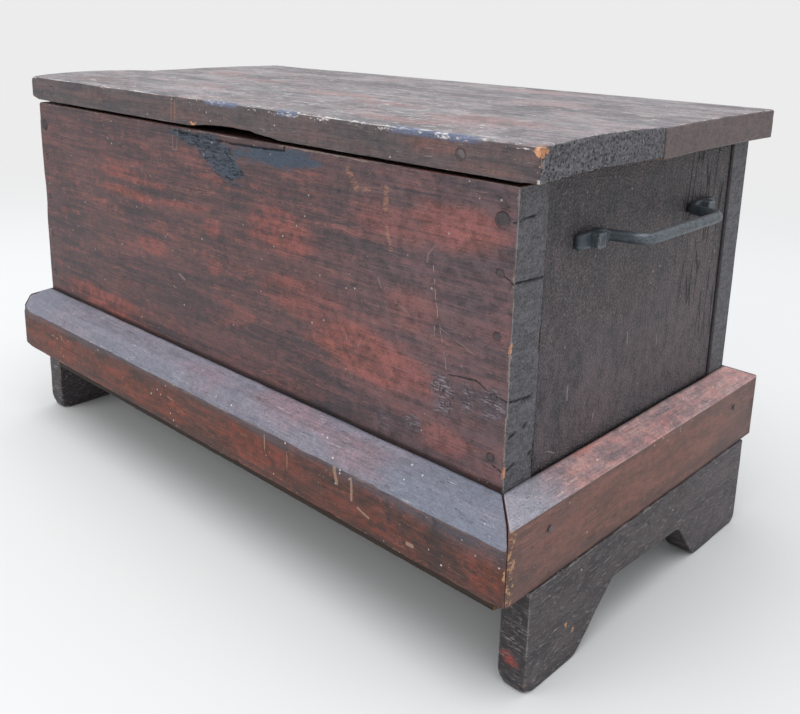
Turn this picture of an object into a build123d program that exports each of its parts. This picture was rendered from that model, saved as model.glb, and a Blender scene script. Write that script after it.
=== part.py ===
"""Antique plank chest: a nailed plank box on a mitred plinth and two shaped runners, with a hinged lid.

Millimetres, +Z up, front towards -Y. The origin is on the ground, under the middle of the chest.
"""
import os
from collections import namedtuple
from math import cos, radians, sin

from build123d import *

os.makedirs("parts", exist_ok=True)

# Box of planks
BODY_WIDTH = 660.0
BODY_DEPTH = 348.0
WALL_HEIGHT = 287.0
FRONT_THICK = 35.0
BACK_THICK = 33.0
END_THICK = 22.0
END_RECESS = 1.0         # the end boards sit this far inside the ends of the front and back
END_PROUD = 2.7          # the front and back have shrunk in height, the upright end boards have not
RIM_ROUND = 3.0          # worn outer top edge of the front board
ARRIS = 1.2              # worn edges of the other boards

# Floor, nailed under the walls
FLOOR_THICK = 28.0
FLOOR_BOARD_COUNT = 3
FLOOR_BOARD_GAP = 1.2
FLOOR_END_GAP = 4.0      # from the floor's ends to the runners
FLOOR_END_ROUND = 5.0

# Plinth of four mitred boards
PLINTH_HEIGHT = 70.0
PLINTH_THICK = 27.0
SLOPE_DROP = 11.0        # top slope, from the wall to the outer face
WORN_SHELF = 19.5        # the worn plinth has two slopes: width and drop of the first
WORN_SHELF_DROP = 8.5
WORN_DROP = 27.0         # where the second slope meets the outer face
PLINTH_ARRIS = 2.5
PLINTH_CORNER_ROUND = 6.0
MITRE_GAP = 0.4

# Runners under the side plinths
RUNNER_HEIGHT = 87.0
RUNNER_THICK = 25.0
RUNNER_FRONT_SETBACK = 29.5
RUNNER_BACK_SETBACK = 23.0
ARCH_HEIGHT = 46.0
ARCH_TILT = 4.0          # the arch is this much lower at its rear
FRONT_FOOT = 67.0
REAR_FOOT = 86.0
FRONT_SPLAY = 49.0       # run of the slope from the front foot's sole up to the arch
REAR_SPLAY = 35.0
TOE_ROUND = 18.0
ARCH_ROUND = 8.0
HEEL_ROUND = 10.0
SOLE_ROUND = 3.0

# Lid of two planks on battens
LID_THICK = 25.0
LID_GAP = 3.0            # from the top of the walls to the lid, filled by the hinges
LID_SIDE_OVERHANG = 16.5
LID_BACK_OVERHANG = 9.0
LID_FRONT_OVERHANG = 1.5
LID_JOINT_FROM_FRONT = 160.0
LID_JOINT_GAP = 0.6
FRONT_PLANK_CUP = 2.6    # how far the front plank has cupped upwards along its middle
REAR_PLANK_CUP = 0.9
LID_ROUND = 3.5
LID_BLUNT_CORNER = 9.0   # knocked-off front left corner
LID_CORNER = 3.0
HAND_HOLLOW_LENGTH = 132.0
HAND_HOLLOW_DEPTH = 4.5
HAND_HOLLOW_X = 26.0
HAND_HOLLOW_TILT = 12.0
BATTEN_THICK = 19.0
BATTEN_WIDTH = 42.0
BATTEN_FROM_END = 34.0
BATTEN_WALL_GAP = 14.0
BATTEN_BEVEL = 5.0

# Butt hinges
HINGE_LENGTH = 64.0
HINGE_FROM_END = 92.0
LEAF_WIDTH = 26.0
LEAF_THICK = 1.4
LEAF_CORNER = 1.5
KNUCKLE_RADIUS = 3.4
HINGE_AXIS_BEHIND = 1.0  # the pin's line, behind the back board
PIN_RADIUS = 1.7
PIN_PLAY = 0.05
PIN_HEAD_RADIUS = 2.6
PIN_HEAD_THICK = 1.2
KNUCKLE_GAP = 0.4
NOTCH_PLAY = 0.6

# Lifting handles
HANDLE_BELOW_RIM = 48.0
BAR_RADIUS = 4.6
BAR_SIDES = 8            # the bar is forged, with narrow hammered flats
BAR_REACH = 33.0         # from the end board to the middle of the grip
GRIP_LENGTH = 117.0
LEG_SPREAD = 8.0         # the legs lean outwards by this much down to the board
GRIP_BEND = 11.0
FOOT_LENGTH = 43.0
FOOT_WIDTH = 12.0
FOOT_THICK = 6.5
FOOT_CORNER = 4.0
BOLT_FROM_ROOT = 19.5

# Fasteners
HOLE_PLAY = 0.05
NAIL_DROP = 60.0         # first corner nail below the top of the wall
NAIL_PITCH = 45.0
CORNER_NAIL_COUNT = 4
PEG_DROP = 24.0
SCREW_PITCH = 22.0
LEAF_SCREW_COUNT = 3
FLOOR_NAIL_COUNT = 4
FLOOR_NAIL_FROM_END = 60.0
PLINTH_NAIL_DROP = 28.0
PLINTH_NAIL_FROM_CORNER = 24.0
PLINTH_LONG_NAIL_FROM_CORNER = 48.0
PLINTH_LONG_NAIL_COUNT = 4
BATTEN_NAIL_FROM_END = 30.0
BATTEN_NAIL_COUNT = 4
EDGE_NAIL_FROM_LEFT = 51.5
EDGE_NAIL_FROM_RIGHT = 65.5

HEAD_SIDES = 8
SCREW_SIDES = 8
COUNTERSINK = 45.0       # degrees from the screw's line
PEG_SIDES = 12           # pegs are split and shaved by hand
PEG_RADIUS = 5.3
PEG_LENGTH = 60.0
Nail = namedtuple("Nail", "head_radius head_thick shank_radius length sunk")
CORNER_NAIL = Nail(3.2, 1.6, 1.6, 62.0, 0.3)
FLOOR_NAIL = Nail(3.4, 1.6, 1.7, 60.0, 0.3)
PLINTH_NAIL = Nail(3.2, 1.6, 1.6, 46.0, 0.3)
RUNNER_NAIL = Nail(3.4, 1.6, 1.7, 58.0, 0.3)
BATTEN_NAIL = Nail(3.0, 1.4, 1.4, 36.0, 0.2)
EDGE_NAIL = Nail(3.4, 1.6, 1.7, 55.0, 0.2)
SCREW_HEAD_RADIUS = 2.9
SCREW_RADIUS = 1.5
SCREW_LENGTH = 17.0
BOLT_HEAD = (10.0, 11.5)
BOLT_HEAD_THICK = 6.5
BOLT_BEVEL = 1.0
BOLT_RADIUS = 2.6
BOLT_LENGTH = 24.0

# Places worked out from the sizes
HALF_WIDTH = BODY_WIDTH / 2
HALF_DEPTH = BODY_DEPTH / 2
WALL_FOOT = RUNNER_HEIGHT
WALL_TOP = WALL_FOOT + WALL_HEIGHT
END_FACE = HALF_WIDTH - END_RECESS
END_INNER = END_FACE - END_THICK
FRONT_INNER = -HALF_DEPTH + FRONT_THICK
BACK_INNER = HALF_DEPTH - BACK_THICK
LID_UNDER = WALL_TOP + LID_GAP
LID_FRONT = -HALF_DEPTH - LID_FRONT_OVERHANG
LID_BACK = HALF_DEPTH + LID_BACK_OVERHANG
LID_JOINT = LID_FRONT + LID_JOINT_FROM_FRONT
LID_HALF = HALF_WIDTH + LID_SIDE_OVERHANG
HINGE_Y = HALF_DEPTH + HINGE_AXIS_BEHIND
HINGE_Z = WALL_TOP + LID_GAP / 2
HINGE_X = HALF_WIDTH - HINGE_FROM_END - HINGE_LENGTH / 2
LEAF_ROOT = KNUCKLE_RADIUS + KNUCKLE_GAP
RUNNER_OUTER = HALF_WIDTH + PLINTH_THICK
RUNNER_INNER = RUNNER_OUTER - RUNNER_THICK
FLOOR_HALF = RUNNER_INNER - FLOOR_END_GAP
BATTEN_X = END_INNER - BATTEN_FROM_END - BATTEN_WIDTH / 2
SIDES = (("left", -1), ("right", 1))


def save(piece, name):
    """Label a finished piece and write it under its name."""
    piece.part.label = name
    export_step(piece.part, f"parts/{name}.step")


def evenly(low, high, count):
    """Evenly spaced values from low to high."""
    return [low + (high - low) * i / (count - 1) for i in range(count)]


def slab(x_span, y_span, z_span):
    """A squared board filling three spans."""
    with BuildSketch(Plane.XY.offset(z_span[0])) as plan:
        with Locations((sum(x_span) / 2, sum(y_span) / 2)):
            Rectangle(x_span[1] - x_span[0], y_span[1] - y_span[0])
    extrude(plan.sketch, amount=z_span[1] - z_span[0])


def nails(kind, sites, inward):
    """Forged nails: square shanks under eight-sided hammered heads."""
    faces_at = [Plane(origin=site, z_dir=inward).offset(kind.sunk) for site in sites]
    with BuildSketch(*faces_at) as heads:
        RegularPolygon(kind.head_radius, HEAD_SIDES)
    extrude(heads.sketch, amount=kind.head_thick)
    with BuildSketch(*faces_at) as shanks:
        Rectangle(2 * kind.shank_radius, 2 * kind.shank_radius)
    extrude(shanks.sketch, amount=kind.length)


def nail_holes(kind, sites, inward):
    """Holes that the nails of one kind fill, sunk heads included."""
    faces_at = [Plane(origin=site, z_dir=inward) for site in sites]
    with BuildSketch(*faces_at) as heads:
        RegularPolygon(kind.head_radius + HOLE_PLAY, HEAD_SIDES)
    extrude(heads.sketch, amount=kind.sunk + kind.head_thick, mode=Mode.SUBTRACT)
    with BuildSketch(*faces_at) as shanks:
        Rectangle(2 * (kind.shank_radius + HOLE_PLAY), 2 * (kind.shank_radius + HOLE_PLAY))
    extrude(shanks.sketch, amount=kind.sunk + kind.length + HOLE_PLAY, mode=Mode.SUBTRACT)


def pegs(sites, inward, play=0.0, mode=Mode.ADD):
    """Round wooden pegs, or the holes for them."""
    with BuildSketch(*[Plane(origin=site, z_dir=inward) for site in sites]) as rounds:
        RegularPolygon(PEG_RADIUS + play, PEG_SIDES)
    extrude(rounds.sketch, amount=PEG_LENGTH + play, mode=mode)


# Where the fasteners go
corner_x = END_FACE - END_THICK / 2
corner_heights = [WALL_TOP - NAIL_DROP - NAIL_PITCH * i for i in range(CORNER_NAIL_COUNT)]
front_nail_sites = [(s * corner_x, -HALF_DEPTH, z) for _, s in SIDES for z in corner_heights]
back_nail_sites = [(s * corner_x, HALF_DEPTH, z) for _, s in SIDES for z in corner_heights]
front_peg_sites = [(s * corner_x, -HALF_DEPTH, WALL_TOP - PEG_DROP) for _, s in SIDES]
back_peg_sites = [(s * corner_x, HALF_DEPTH, WALL_TOP - PEG_DROP) for _, s in SIDES]

floor_bottom = WALL_FOOT - FLOOR_THICK
floor_board_width = (BODY_DEPTH - (FLOOR_BOARD_COUNT - 1) * FLOOR_BOARD_GAP) / FLOOR_BOARD_COUNT
long_floor_x = evenly(-FLOOR_HALF + FLOOR_NAIL_FROM_END, FLOOR_HALF - FLOOR_NAIL_FROM_END,
                      FLOOR_NAIL_COUNT)
floor_nail_sites = [(x, -HALF_DEPTH + FRONT_THICK / 2, floor_bottom) for x in long_floor_x]
floor_nail_sites += [(x, HALF_DEPTH - BACK_THICK / 2, floor_bottom) for x in long_floor_x]
floor_nail_sites += [(s * corner_x, t * floor_board_width / 4, floor_bottom)
                     for _, s in SIDES for t in (-1, 1)]

plinth_nail_z = WALL_FOOT + PLINTH_HEIGHT - PLINTH_NAIL_DROP
plinth_face_y = HALF_DEPTH + PLINTH_THICK
plinth_long_x = evenly(-HALF_WIDTH + PLINTH_LONG_NAIL_FROM_CORNER, HALF_WIDTH - PLINTH_LONG_NAIL_FROM_CORNER,
                       PLINTH_LONG_NAIL_COUNT)
plinth_nail_sites = {
    "front": [(x, -plinth_face_y, plinth_nail_z) for x in plinth_long_x],
    "back": [(x, plinth_face_y, plinth_nail_z) for x in plinth_long_x],
    "left": [(-RUNNER_OUTER, t * (HALF_DEPTH - PLINTH_NAIL_FROM_CORNER), plinth_nail_z) for t in (-1, 1)],
    "right": [(RUNNER_OUTER, t * (HALF_DEPTH - PLINTH_NAIL_FROM_CORNER), plinth_nail_z) for t in (-1, 1)],
}
INWARD = {"front": (0, 1, 0), "back": (0, -1, 0), "left": (1, 0, 0), "right": (-1, 0, 0)}


def plinth_nail_holes():
    """Holes in a wall board for all the plinth nails that reach it."""
    for side, sites in plinth_nail_sites.items():
        nail_holes(PLINTH_NAIL, sites, INWARD[side])


runner_nail_sites = {
    side: [(s * RUNNER_OUTER, t * (floor_board_width + FLOOR_BOARD_GAP), WALL_FOOT - FLOOR_THICK / 2)
           for t in (-1, 0, 1)]
    for side, s in SIDES}

batten_span = (FRONT_INNER + BATTEN_WALL_GAP, BACK_INNER - BATTEN_WALL_GAP)
batten_nail_y = evenly(batten_span[0] + BATTEN_NAIL_FROM_END, batten_span[1] - BATTEN_NAIL_FROM_END,
                       BATTEN_NAIL_COUNT)
batten_nail_sites = [(s * BATTEN_X, y, LID_UNDER - BATTEN_THICK) for _, s in SIDES for y in batten_nail_y]
edge_nail_sites = [(x, LID_FRONT, LID_UNDER + LID_THICK / 2)
                   for x in (EDGE_NAIL_FROM_LEFT - LID_HALF, LID_HALF - EDGE_NAIL_FROM_RIGHT)]

screw_x = evenly(-SCREW_PITCH, SCREW_PITCH, LEAF_SCREW_COUNT)
screw_y = HINGE_Y - (LEAF_ROOT + LEAF_WIDTH) / 2


def lid_screws_at(centre_x, play=0.0):
    """Countersunk screws up through one hinge's lid leaf, or the space of their holes."""
    heads_at = [Plane((centre_x + x, screw_y, LID_UNDER - LEAF_THICK)) for x in screw_x]
    with BuildPart(mode=Mode.PRIVATE) as screw_set:
        with BuildSketch(*heads_at) as tops:
            RegularPolygon(SCREW_HEAD_RADIUS + play, SCREW_SIDES)
        extrude(tops.sketch, amount=LEAF_THICK, taper=COUNTERSINK)
        with BuildSketch(*heads_at) as shanks:
            RegularPolygon(SCREW_RADIUS + play, SCREW_SIDES)
        extrude(shanks.sketch, amount=SCREW_LENGTH + play)
    return screw_set.part


def body_screws_at(centre_x, play=0.0):
    """The same screws turned over, down through one hinge's body leaf."""
    return mirror(lid_screws_at(centre_x, play), about=Plane.XY.offset(HINGE_Z), mode=Mode.PRIVATE)


def hinge_notch(z_span):
    """Room for both hinges' knuckles in a board's edge."""
    reach = KNUCKLE_RADIUS + NOTCH_PLAY
    with BuildSketch(Plane.XY.offset(z_span[0])) as plan:
        with Locations((-HINGE_X, HINGE_Y), (HINGE_X, HINGE_Y)):
            Rectangle(HINGE_LENGTH + 2 * (PIN_HEAD_THICK + NOTCH_PLAY), 2 * reach)
    extrude(plan.sketch, amount=z_span[1] - z_span[0], mode=Mode.SUBTRACT)


# Front and back boards
with BuildPart() as front_board:
    slab((-HALF_WIDTH, HALF_WIDTH), (-HALF_DEPTH, FRONT_INNER), (WALL_FOOT, WALL_TOP))
    rim = front_board.edges().filter_by(Axis.X).group_by(Axis.Z)[-1].sort_by(Axis.Y)
    fillet(rim[0], RIM_ROUND)
    chamfer(front_board.edges().filter_by(Axis.X).group_by(Axis.Z)[-1].sort_by(Axis.Y)[-1], ARRIS)
    chamfer(front_board.edges().filter_by(Axis.Z).group_by(Axis.Y)[0], ARRIS)
    nail_holes(CORNER_NAIL, front_nail_sites, INWARD["front"])
    pegs(front_peg_sites, INWARD["front"], HOLE_PLAY, Mode.SUBTRACT)
    plinth_nail_holes()
    nail_holes(FLOOR_NAIL, floor_nail_sites, (0, 0, 1))
save(front_board, "front_board")

with BuildPart() as back_board:
    slab((-HALF_WIDTH, HALF_WIDTH), (BACK_INNER, HALF_DEPTH), (WALL_FOOT, WALL_TOP))
    chamfer(back_board.edges().filter_by(Axis.X).group_by(Axis.Z)[-1], ARRIS)
    chamfer(back_board.edges().filter_by(Axis.Z).group_by(Axis.Y)[-1], ARRIS)
    nail_holes(CORNER_NAIL, back_nail_sites, INWARD["back"])
    pegs(back_peg_sites, INWARD["back"], HOLE_PLAY, Mode.SUBTRACT)
    plinth_nail_holes()
    nail_holes(FLOOR_NAIL, floor_nail_sites, (0, 0, 1))
    hinge_notch((HINGE_Z - KNUCKLE_RADIUS - NOTCH_PLAY, WALL_TOP + LID_GAP))
    for _, s in SIDES:
        add(body_screws_at(s * HINGE_X, HOLE_PLAY), mode=Mode.SUBTRACT)
save(back_board, "back_board")


# Handle geometry, used by the end boards, the handles and their bolts
def handle_plane(sign):
    """Plane on the end board's outer face: local X runs to the rear, local Z outwards."""
    return Plane(origin=(sign * END_FACE, 0, WALL_TOP - HANDLE_BELOW_RIM), x_dir=(0, 1, 0), z_dir=(sign, 0, 0))


root_offset = GRIP_LENGTH / 2 + LEG_SPREAD
bolt_offset = root_offset + BOLT_FROM_ROOT


def bolt_shanks(sign, play=0.0, mode=Mode.ADD):
    """Square shanks of one handle's two bolts, or the holes for them."""
    head = handle_plane(sign).offset(FOOT_THICK)
    with BuildSketch(head) as rounds:
        with Locations((-bolt_offset, 0), (bolt_offset, 0)):
            Rectangle(2 * (BOLT_RADIUS + play), 2 * (BOLT_RADIUS + play))
    extrude(rounds.sketch, amount=-(BOLT_LENGTH + play), mode=mode)


# End boards, grain upright, held between the front and back
for side, s in SIDES:
    with BuildPart() as end_board:
        slab(sorted((s * END_INNER, s * END_FACE)), (FRONT_INNER, BACK_INNER),
             (WALL_FOOT, WALL_TOP + END_PROUD))
        chamfer(end_board.edges().filter_by(Axis.Y).group_by(Axis.Z)[-1], ARRIS)
        nail_holes(CORNER_NAIL, front_nail_sites, INWARD["front"])
        nail_holes(CORNER_NAIL, back_nail_sites, INWARD["back"])
        pegs(front_peg_sites, INWARD["front"], HOLE_PLAY, Mode.SUBTRACT)
        pegs(back_peg_sites, INWARD["back"], HOLE_PLAY, Mode.SUBTRACT)
        plinth_nail_holes()
        nail_holes(FLOOR_NAIL, floor_nail_sites, (0, 0, 1))
        bolt_shanks(s, HOLE_PLAY, Mode.SUBTRACT)
    save(end_board, f"{side}_end_board")

# Floor boards, running the length of the chest
floor_names = [f"floor_board_{i + 1}" for i in range(FLOOR_BOARD_COUNT)]
for i, name in enumerate(floor_names):
    near = -HALF_DEPTH + i * (floor_board_width + FLOOR_BOARD_GAP)
    with BuildPart() as floor_board:
        slab((-FLOOR_HALF, FLOOR_HALF), (near, near + floor_board_width), (floor_bottom, WALL_FOOT))
        fillet(floor_board.edges().filter_by(Axis.Y).group_by(Axis.Z)[0], FLOOR_END_ROUND)
        nail_holes(FLOOR_NAIL, floor_nail_sites, (0, 0, 1))
        nail_holes(RUNNER_NAIL, runner_nail_sites["left"], (1, 0, 0))
        nail_holes(RUNNER_NAIL, runner_nail_sites["right"], (-1, 0, 0))
    save(floor_board, name)

# Plinth: profiles run outwards from the wall, with heights below the plinth's top
plain_top = [(PLINTH_THICK, PLINTH_HEIGHT - SLOPE_DROP)]
worn_top = [(PLINTH_THICK, PLINTH_HEIGHT - WORN_DROP), (WORN_SHELF, PLINTH_HEIGHT - WORN_SHELF_DROP)]
PLINTH_RUNS = {
    "front": ((0, -1, 0), HALF_WIDTH, HALF_DEPTH, worn_top),
    "back": ((0, 1, 0), HALF_WIDTH, HALF_DEPTH, plain_top),
    "left": ((-1, 0, 0), HALF_DEPTH, HALF_WIDTH, worn_top),
    "right": ((1, 0, 0), HALF_DEPTH, HALF_WIDTH, plain_top),
}


def plinth_run(outward, half_run, wall, top):
    """One plinth board: its profile run past both corners, then mitred in plan."""
    out = Vector(*outward)
    profile = Plane(origin=out * wall + Vector(0, 0, WALL_FOOT), x_dir=out, z_dir=out.cross(Vector(0, 0, 1)))
    corners = [(0, 0), (PLINTH_THICK - PLINTH_ARRIS, 0), (PLINTH_THICK, PLINTH_ARRIS)]
    with BuildSketch(profile) as section:
        with BuildLine():
            Polyline(*corners, *top, (0, PLINTH_HEIGHT), close=True)
        make_face()
    extrude(section.sketch, amount=half_run + PLINTH_THICK, both=True)
    near = half_run - MITRE_GAP
    far = near + PLINTH_THICK
    plan = Plane(origin=out * wall + Vector(0, 0, WALL_FOOT), x_dir=out, z_dir=(0, 0, 1))
    with BuildSketch(plan) as mitred:
        with BuildLine():
            Polyline((0, -near), (PLINTH_THICK, -far), (PLINTH_THICK, far), (0, near), close=True)
        make_face()
    extrude(mitred.sketch, amount=PLINTH_HEIGHT, mode=Mode.INTERSECT)
    with BuildSketch(Plane.XY.offset(WALL_FOOT)) as outline:
        RectangleRounded(BODY_WIDTH + 2 * PLINTH_THICK, BODY_DEPTH + 2 * PLINTH_THICK, PLINTH_CORNER_ROUND)
    extrude(outline.sketch, amount=PLINTH_HEIGHT, mode=Mode.INTERSECT)


for side, (outward, half_run, wall, top) in PLINTH_RUNS.items():
    with BuildPart() as plinth:
        plinth_run(outward, half_run, wall, top)
        nail_holes(PLINTH_NAIL, plinth_nail_sites[side], INWARD[side])
    save(plinth, f"plinth_{side}")

# Runners with a bracket-shaped arch between their two feet
runner_front = -plinth_face_y + RUNNER_FRONT_SETBACK
runner_back = plinth_face_y - RUNNER_BACK_SETBACK
for side, s in SIDES:
    with BuildPart() as runner:
        with BuildSketch(Plane.YZ.offset(min(s * RUNNER_INNER, s * RUNNER_OUTER))) as runner_side:
            with BuildLine():
                toe = (runner_front + FRONT_FOOT, 0)
                heel = (runner_back - REAR_FOOT, 0)
                Polyline((runner_front, 0), toe, (toe[0] + FRONT_SPLAY, ARCH_HEIGHT),
                         (heel[0] - REAR_SPLAY, ARCH_HEIGHT - ARCH_TILT), heel, (runner_back, 0),
                         (runner_back, RUNNER_HEIGHT), (runner_front, RUNNER_HEIGHT), close=True)
            make_face()
            fillet(runner_side.vertices().filter_by(lambda v: SOLE_ROUND < v.Y < RUNNER_HEIGHT - SOLE_ROUND),
                   ARCH_ROUND)
            sole_front, toe_end, heel_end, sole_back = (
                runner_side.vertices().group_by(Axis.Y)[0].sort_by(Axis.X))
            fillet([sole_front, heel_end], SOLE_ROUND)
            fillet(toe_end, TOE_ROUND)
            fillet(sole_back, HEEL_ROUND)
        extrude(amount=RUNNER_THICK)
        chamfer(runner.edges().filter_by(Axis.Z).group_by(Axis.Y)[0], ARRIS)
        nail_holes(RUNNER_NAIL, runner_nail_sites[side], (-s, 0, 0))
    save(runner, f"runner_{side}")


def lid_plank(y_span, cup):
    """A lid plank, cupped so that its middle has risen."""
    middle = sum(y_span) / 2
    with BuildSketch(Plane.YZ.offset(-LID_HALF)) as section:
        with BuildLine():
            under = ThreePointArc((y_span[0], LID_UNDER), (middle, LID_UNDER + cup), (y_span[1], LID_UNDER))
            over = ThreePointArc((y_span[1], LID_UNDER + LID_THICK), (middle, LID_UNDER + LID_THICK + cup),
                                 (y_span[0], LID_UNDER + LID_THICK))
            Line(under @ 1, over @ 0)
            Line(over @ 1, under @ 0)
        make_face()
    extrude(section.sketch, amount=2 * LID_HALF)


# Lid planks
with BuildPart() as lid_front_plank:
    lid_plank((LID_FRONT, LID_JOINT - LID_JOINT_GAP / 2), FRONT_PLANK_CUP)
    uprights = lid_front_plank.edges().filter_by(Axis.Z).group_by(Axis.Y)[0].sort_by(Axis.X)
    fillet(uprights[0], LID_BLUNT_CORNER)
    uprights = lid_front_plank.edges().filter_by(Axis.Z).group_by(Axis.Y)[0].sort_by(Axis.X)
    fillet(uprights[-1], LID_CORNER)
    long_edges = lid_front_plank.edges().filter_by(Axis.X).group_by(Axis.Y)[0].sort_by(Axis.Z)
    fillet(long_edges[-1], LID_ROUND)
    hollow_radius = (HAND_HOLLOW_LENGTH**2 / 4 + HAND_HOLLOW_DEPTH**2) / (2 * HAND_HOLLOW_DEPTH)
    tilt = radians(HAND_HOLLOW_TILT)
    hollow_at = Plane(origin=(HAND_HOLLOW_X, LID_FRONT, LID_UNDER), x_dir=(1, 0, 0),
                      z_dir=(0, cos(tilt), -sin(tilt)))
    with BuildSketch(hollow_at):
        with Locations((0, hollow_radius - HAND_HOLLOW_DEPTH)):
            Circle(hollow_radius)
    extrude(amount=LID_THICK, both=True, mode=Mode.SUBTRACT)
    nail_holes(BATTEN_NAIL, batten_nail_sites, (0, 0, 1))
    nail_holes(EDGE_NAIL, edge_nail_sites, INWARD["front"])
save(lid_front_plank, "lid_front_plank")

with BuildPart() as lid_rear_plank:
    lid_plank((LID_JOINT + LID_JOINT_GAP / 2, LID_BACK), REAR_PLANK_CUP)
    fillet(lid_rear_plank.edges().filter_by(Axis.Z).group_by(Axis.Y)[-1], LID_CORNER)
    hinge_notch((LID_UNDER - LID_GAP, HINGE_Z + KNUCKLE_RADIUS + NOTCH_PLAY))
    for _, s in SIDES:
        add(lid_screws_at(s * HINGE_X, HOLE_PLAY), mode=Mode.SUBTRACT)
    nail_holes(BATTEN_NAIL, batten_nail_sites, (0, 0, 1))
save(lid_rear_plank, "lid_rear_plank")

# Battens across the underside of the lid, inside the walls
for side, s in SIDES:
    with BuildPart() as batten:
        slab((s * BATTEN_X - BATTEN_WIDTH / 2, s * BATTEN_X + BATTEN_WIDTH / 2), batten_span,
             (LID_UNDER - BATTEN_THICK, LID_UNDER))
        chamfer(batten.faces().sort_by(Axis.Z)[0].edges(), BATTEN_BEVEL)
        nail_holes(BATTEN_NAIL, batten_nail_sites, (0, 0, 1))
    save(batten, f"lid_batten_{side}")


def knuckles(centre_x, spans):
    """Rolled knuckles of one leaf on the hinge line."""
    for low, high in spans:
        with BuildSketch(Plane.YZ.offset(centre_x + low)) as ring:
            with Locations((HINGE_Y, HINGE_Z)):
                Circle(KNUCKLE_RADIUS)
        extrude(ring.sketch, amount=high - low)


def leaf(centre_x, z_span, spans):
    """A hinge leaf: a plate with tangs that roll into its knuckles, bored for the pin."""
    slab((centre_x - HINGE_LENGTH / 2, centre_x + HINGE_LENGTH / 2),
         (HINGE_Y - LEAF_WIDTH, HINGE_Y - LEAF_ROOT), z_span)
    fillet(edges(Select.LAST).filter_by(Axis.Z).group_by(Axis.Y)[0], LEAF_CORNER)
    for low, high in spans:
        slab((centre_x + low, centre_x + high), (HINGE_Y - LEAF_ROOT, HINGE_Y), z_span)
    knuckles(centre_x, spans)
    with BuildSketch(Plane.YZ.offset(centre_x - HINGE_LENGTH / 2)) as bore:
        with Locations((HINGE_Y, HINGE_Z)):
            Circle(PIN_RADIUS + PIN_PLAY)
    extrude(bore.sketch, amount=HINGE_LENGTH, mode=Mode.SUBTRACT)


third = HINGE_LENGTH / 3
outer_spans = [(-HINGE_LENGTH / 2, -third / 2 - KNUCKLE_GAP / 2),
               (third / 2 + KNUCKLE_GAP / 2, HINGE_LENGTH / 2)]
middle_span = [(-third / 2 + KNUCKLE_GAP / 2, third / 2 - KNUCKLE_GAP / 2)]

# Butt hinges
for side, s in SIDES:
    with BuildPart() as body_leaf:
        leaf(s * HINGE_X, (WALL_TOP, WALL_TOP + LEAF_THICK), outer_spans)
        add(body_screws_at(s * HINGE_X, HOLE_PLAY), mode=Mode.SUBTRACT)
    save(body_leaf, f"hinge_body_leaf_{side}")
    with BuildPart() as lid_leaf:
        leaf(s * HINGE_X, (LID_UNDER - LEAF_THICK, LID_UNDER), middle_span)
        add(lid_screws_at(s * HINGE_X, HOLE_PLAY), mode=Mode.SUBTRACT)
    save(lid_leaf, f"hinge_lid_leaf_{side}")
    with BuildPart() as pin:
        with BuildSketch(Plane.YZ.offset(s * HINGE_X - HINGE_LENGTH / 2)):
            with Locations((HINGE_Y, HINGE_Z)):
                Circle(PIN_RADIUS)
        extrude(amount=HINGE_LENGTH)
        for start, grow in ((-HINGE_LENGTH / 2, -PIN_HEAD_THICK), (HINGE_LENGTH / 2, PIN_HEAD_THICK)):
            with BuildSketch(Plane.YZ.offset(s * HINGE_X + start)):
                with Locations((HINGE_Y, HINGE_Z)):
                    Circle(PIN_HEAD_RADIUS)
            extrude(amount=grow)
    save(pin, f"hinge_pin_{side}")
    with BuildPart() as body_screws:
        add(body_screws_at(s * HINGE_X))
    save(body_screws, f"hinge_body_screws_{side}")
    with BuildPart() as lid_screws:
        add(lid_screws_at(s * HINGE_X))
    save(lid_screws, f"hinge_lid_screws_{side}")

# Lifting handles: a forged bar bent twice, with its ends hammered flat and bolted to the end boards
for side, s in SIDES:
    base = handle_plane(s)
    with BuildPart() as handle:
        ends = [base.from_local_coords(Vector(u, 0, w)) for u, w in (
            (-root_offset, 0), (-GRIP_LENGTH / 2, BAR_REACH), (GRIP_LENGTH / 2, BAR_REACH), (root_offset, 0))]
        with BuildLine() as bar_line:
            FilletPolyline(*ends, radius=GRIP_BEND)
        with BuildSketch(Plane(origin=ends[0], z_dir=bar_line.line % 0)):
            RegularPolygon(BAR_RADIUS, BAR_SIDES)
        sweep(path=bar_line.line)
        split(bisect_by=base, keep=Keep.TOP)
        for t in (-1, 1):
            foot_middle = t * (root_offset - BAR_RADIUS + FOOT_LENGTH / 2)
            with BuildSketch(base):
                with Locations((foot_middle, 0)):
                    RectangleRounded(FOOT_LENGTH, FOOT_WIDTH, FOOT_CORNER)
            extrude(amount=FOOT_THICK)
        bolt_shanks(s, HOLE_PLAY, Mode.SUBTRACT)
    save(handle, f"handle_{side}")
    with BuildPart() as bolts:
        bolt_shanks(s)
        with BuildSketch(base.offset(FOOT_THICK)):
            with Locations((-bolt_offset, 0), (bolt_offset, 0)):
                Rectangle(*BOLT_HEAD)
        extrude(amount=BOLT_HEAD_THICK)
        chamfer(bolts.faces().filter_by(Plane.YZ).sort_by(Axis.X)[::s][-2:].edges(), BOLT_BEVEL)
    save(bolts, f"handle_bolts_{side}")

# Nails and pegs, one group for each place
with BuildPart() as corner_pegs:
    pegs(front_peg_sites, INWARD["front"])
    pegs(back_peg_sites, INWARD["back"])
save(corner_pegs, "corner_pegs")

with BuildPart() as front_nails:
    nails(CORNER_NAIL, front_nail_sites, INWARD["front"])
save(front_nails, "front_nails")

with BuildPart() as back_nails:
    nails(CORNER_NAIL, back_nail_sites, INWARD["back"])
save(back_nails, "back_nails")

with BuildPart() as floor_nails:
    nails(FLOOR_NAIL, floor_nail_sites, (0, 0, 1))
save(floor_nails, "floor_nails")

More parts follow.
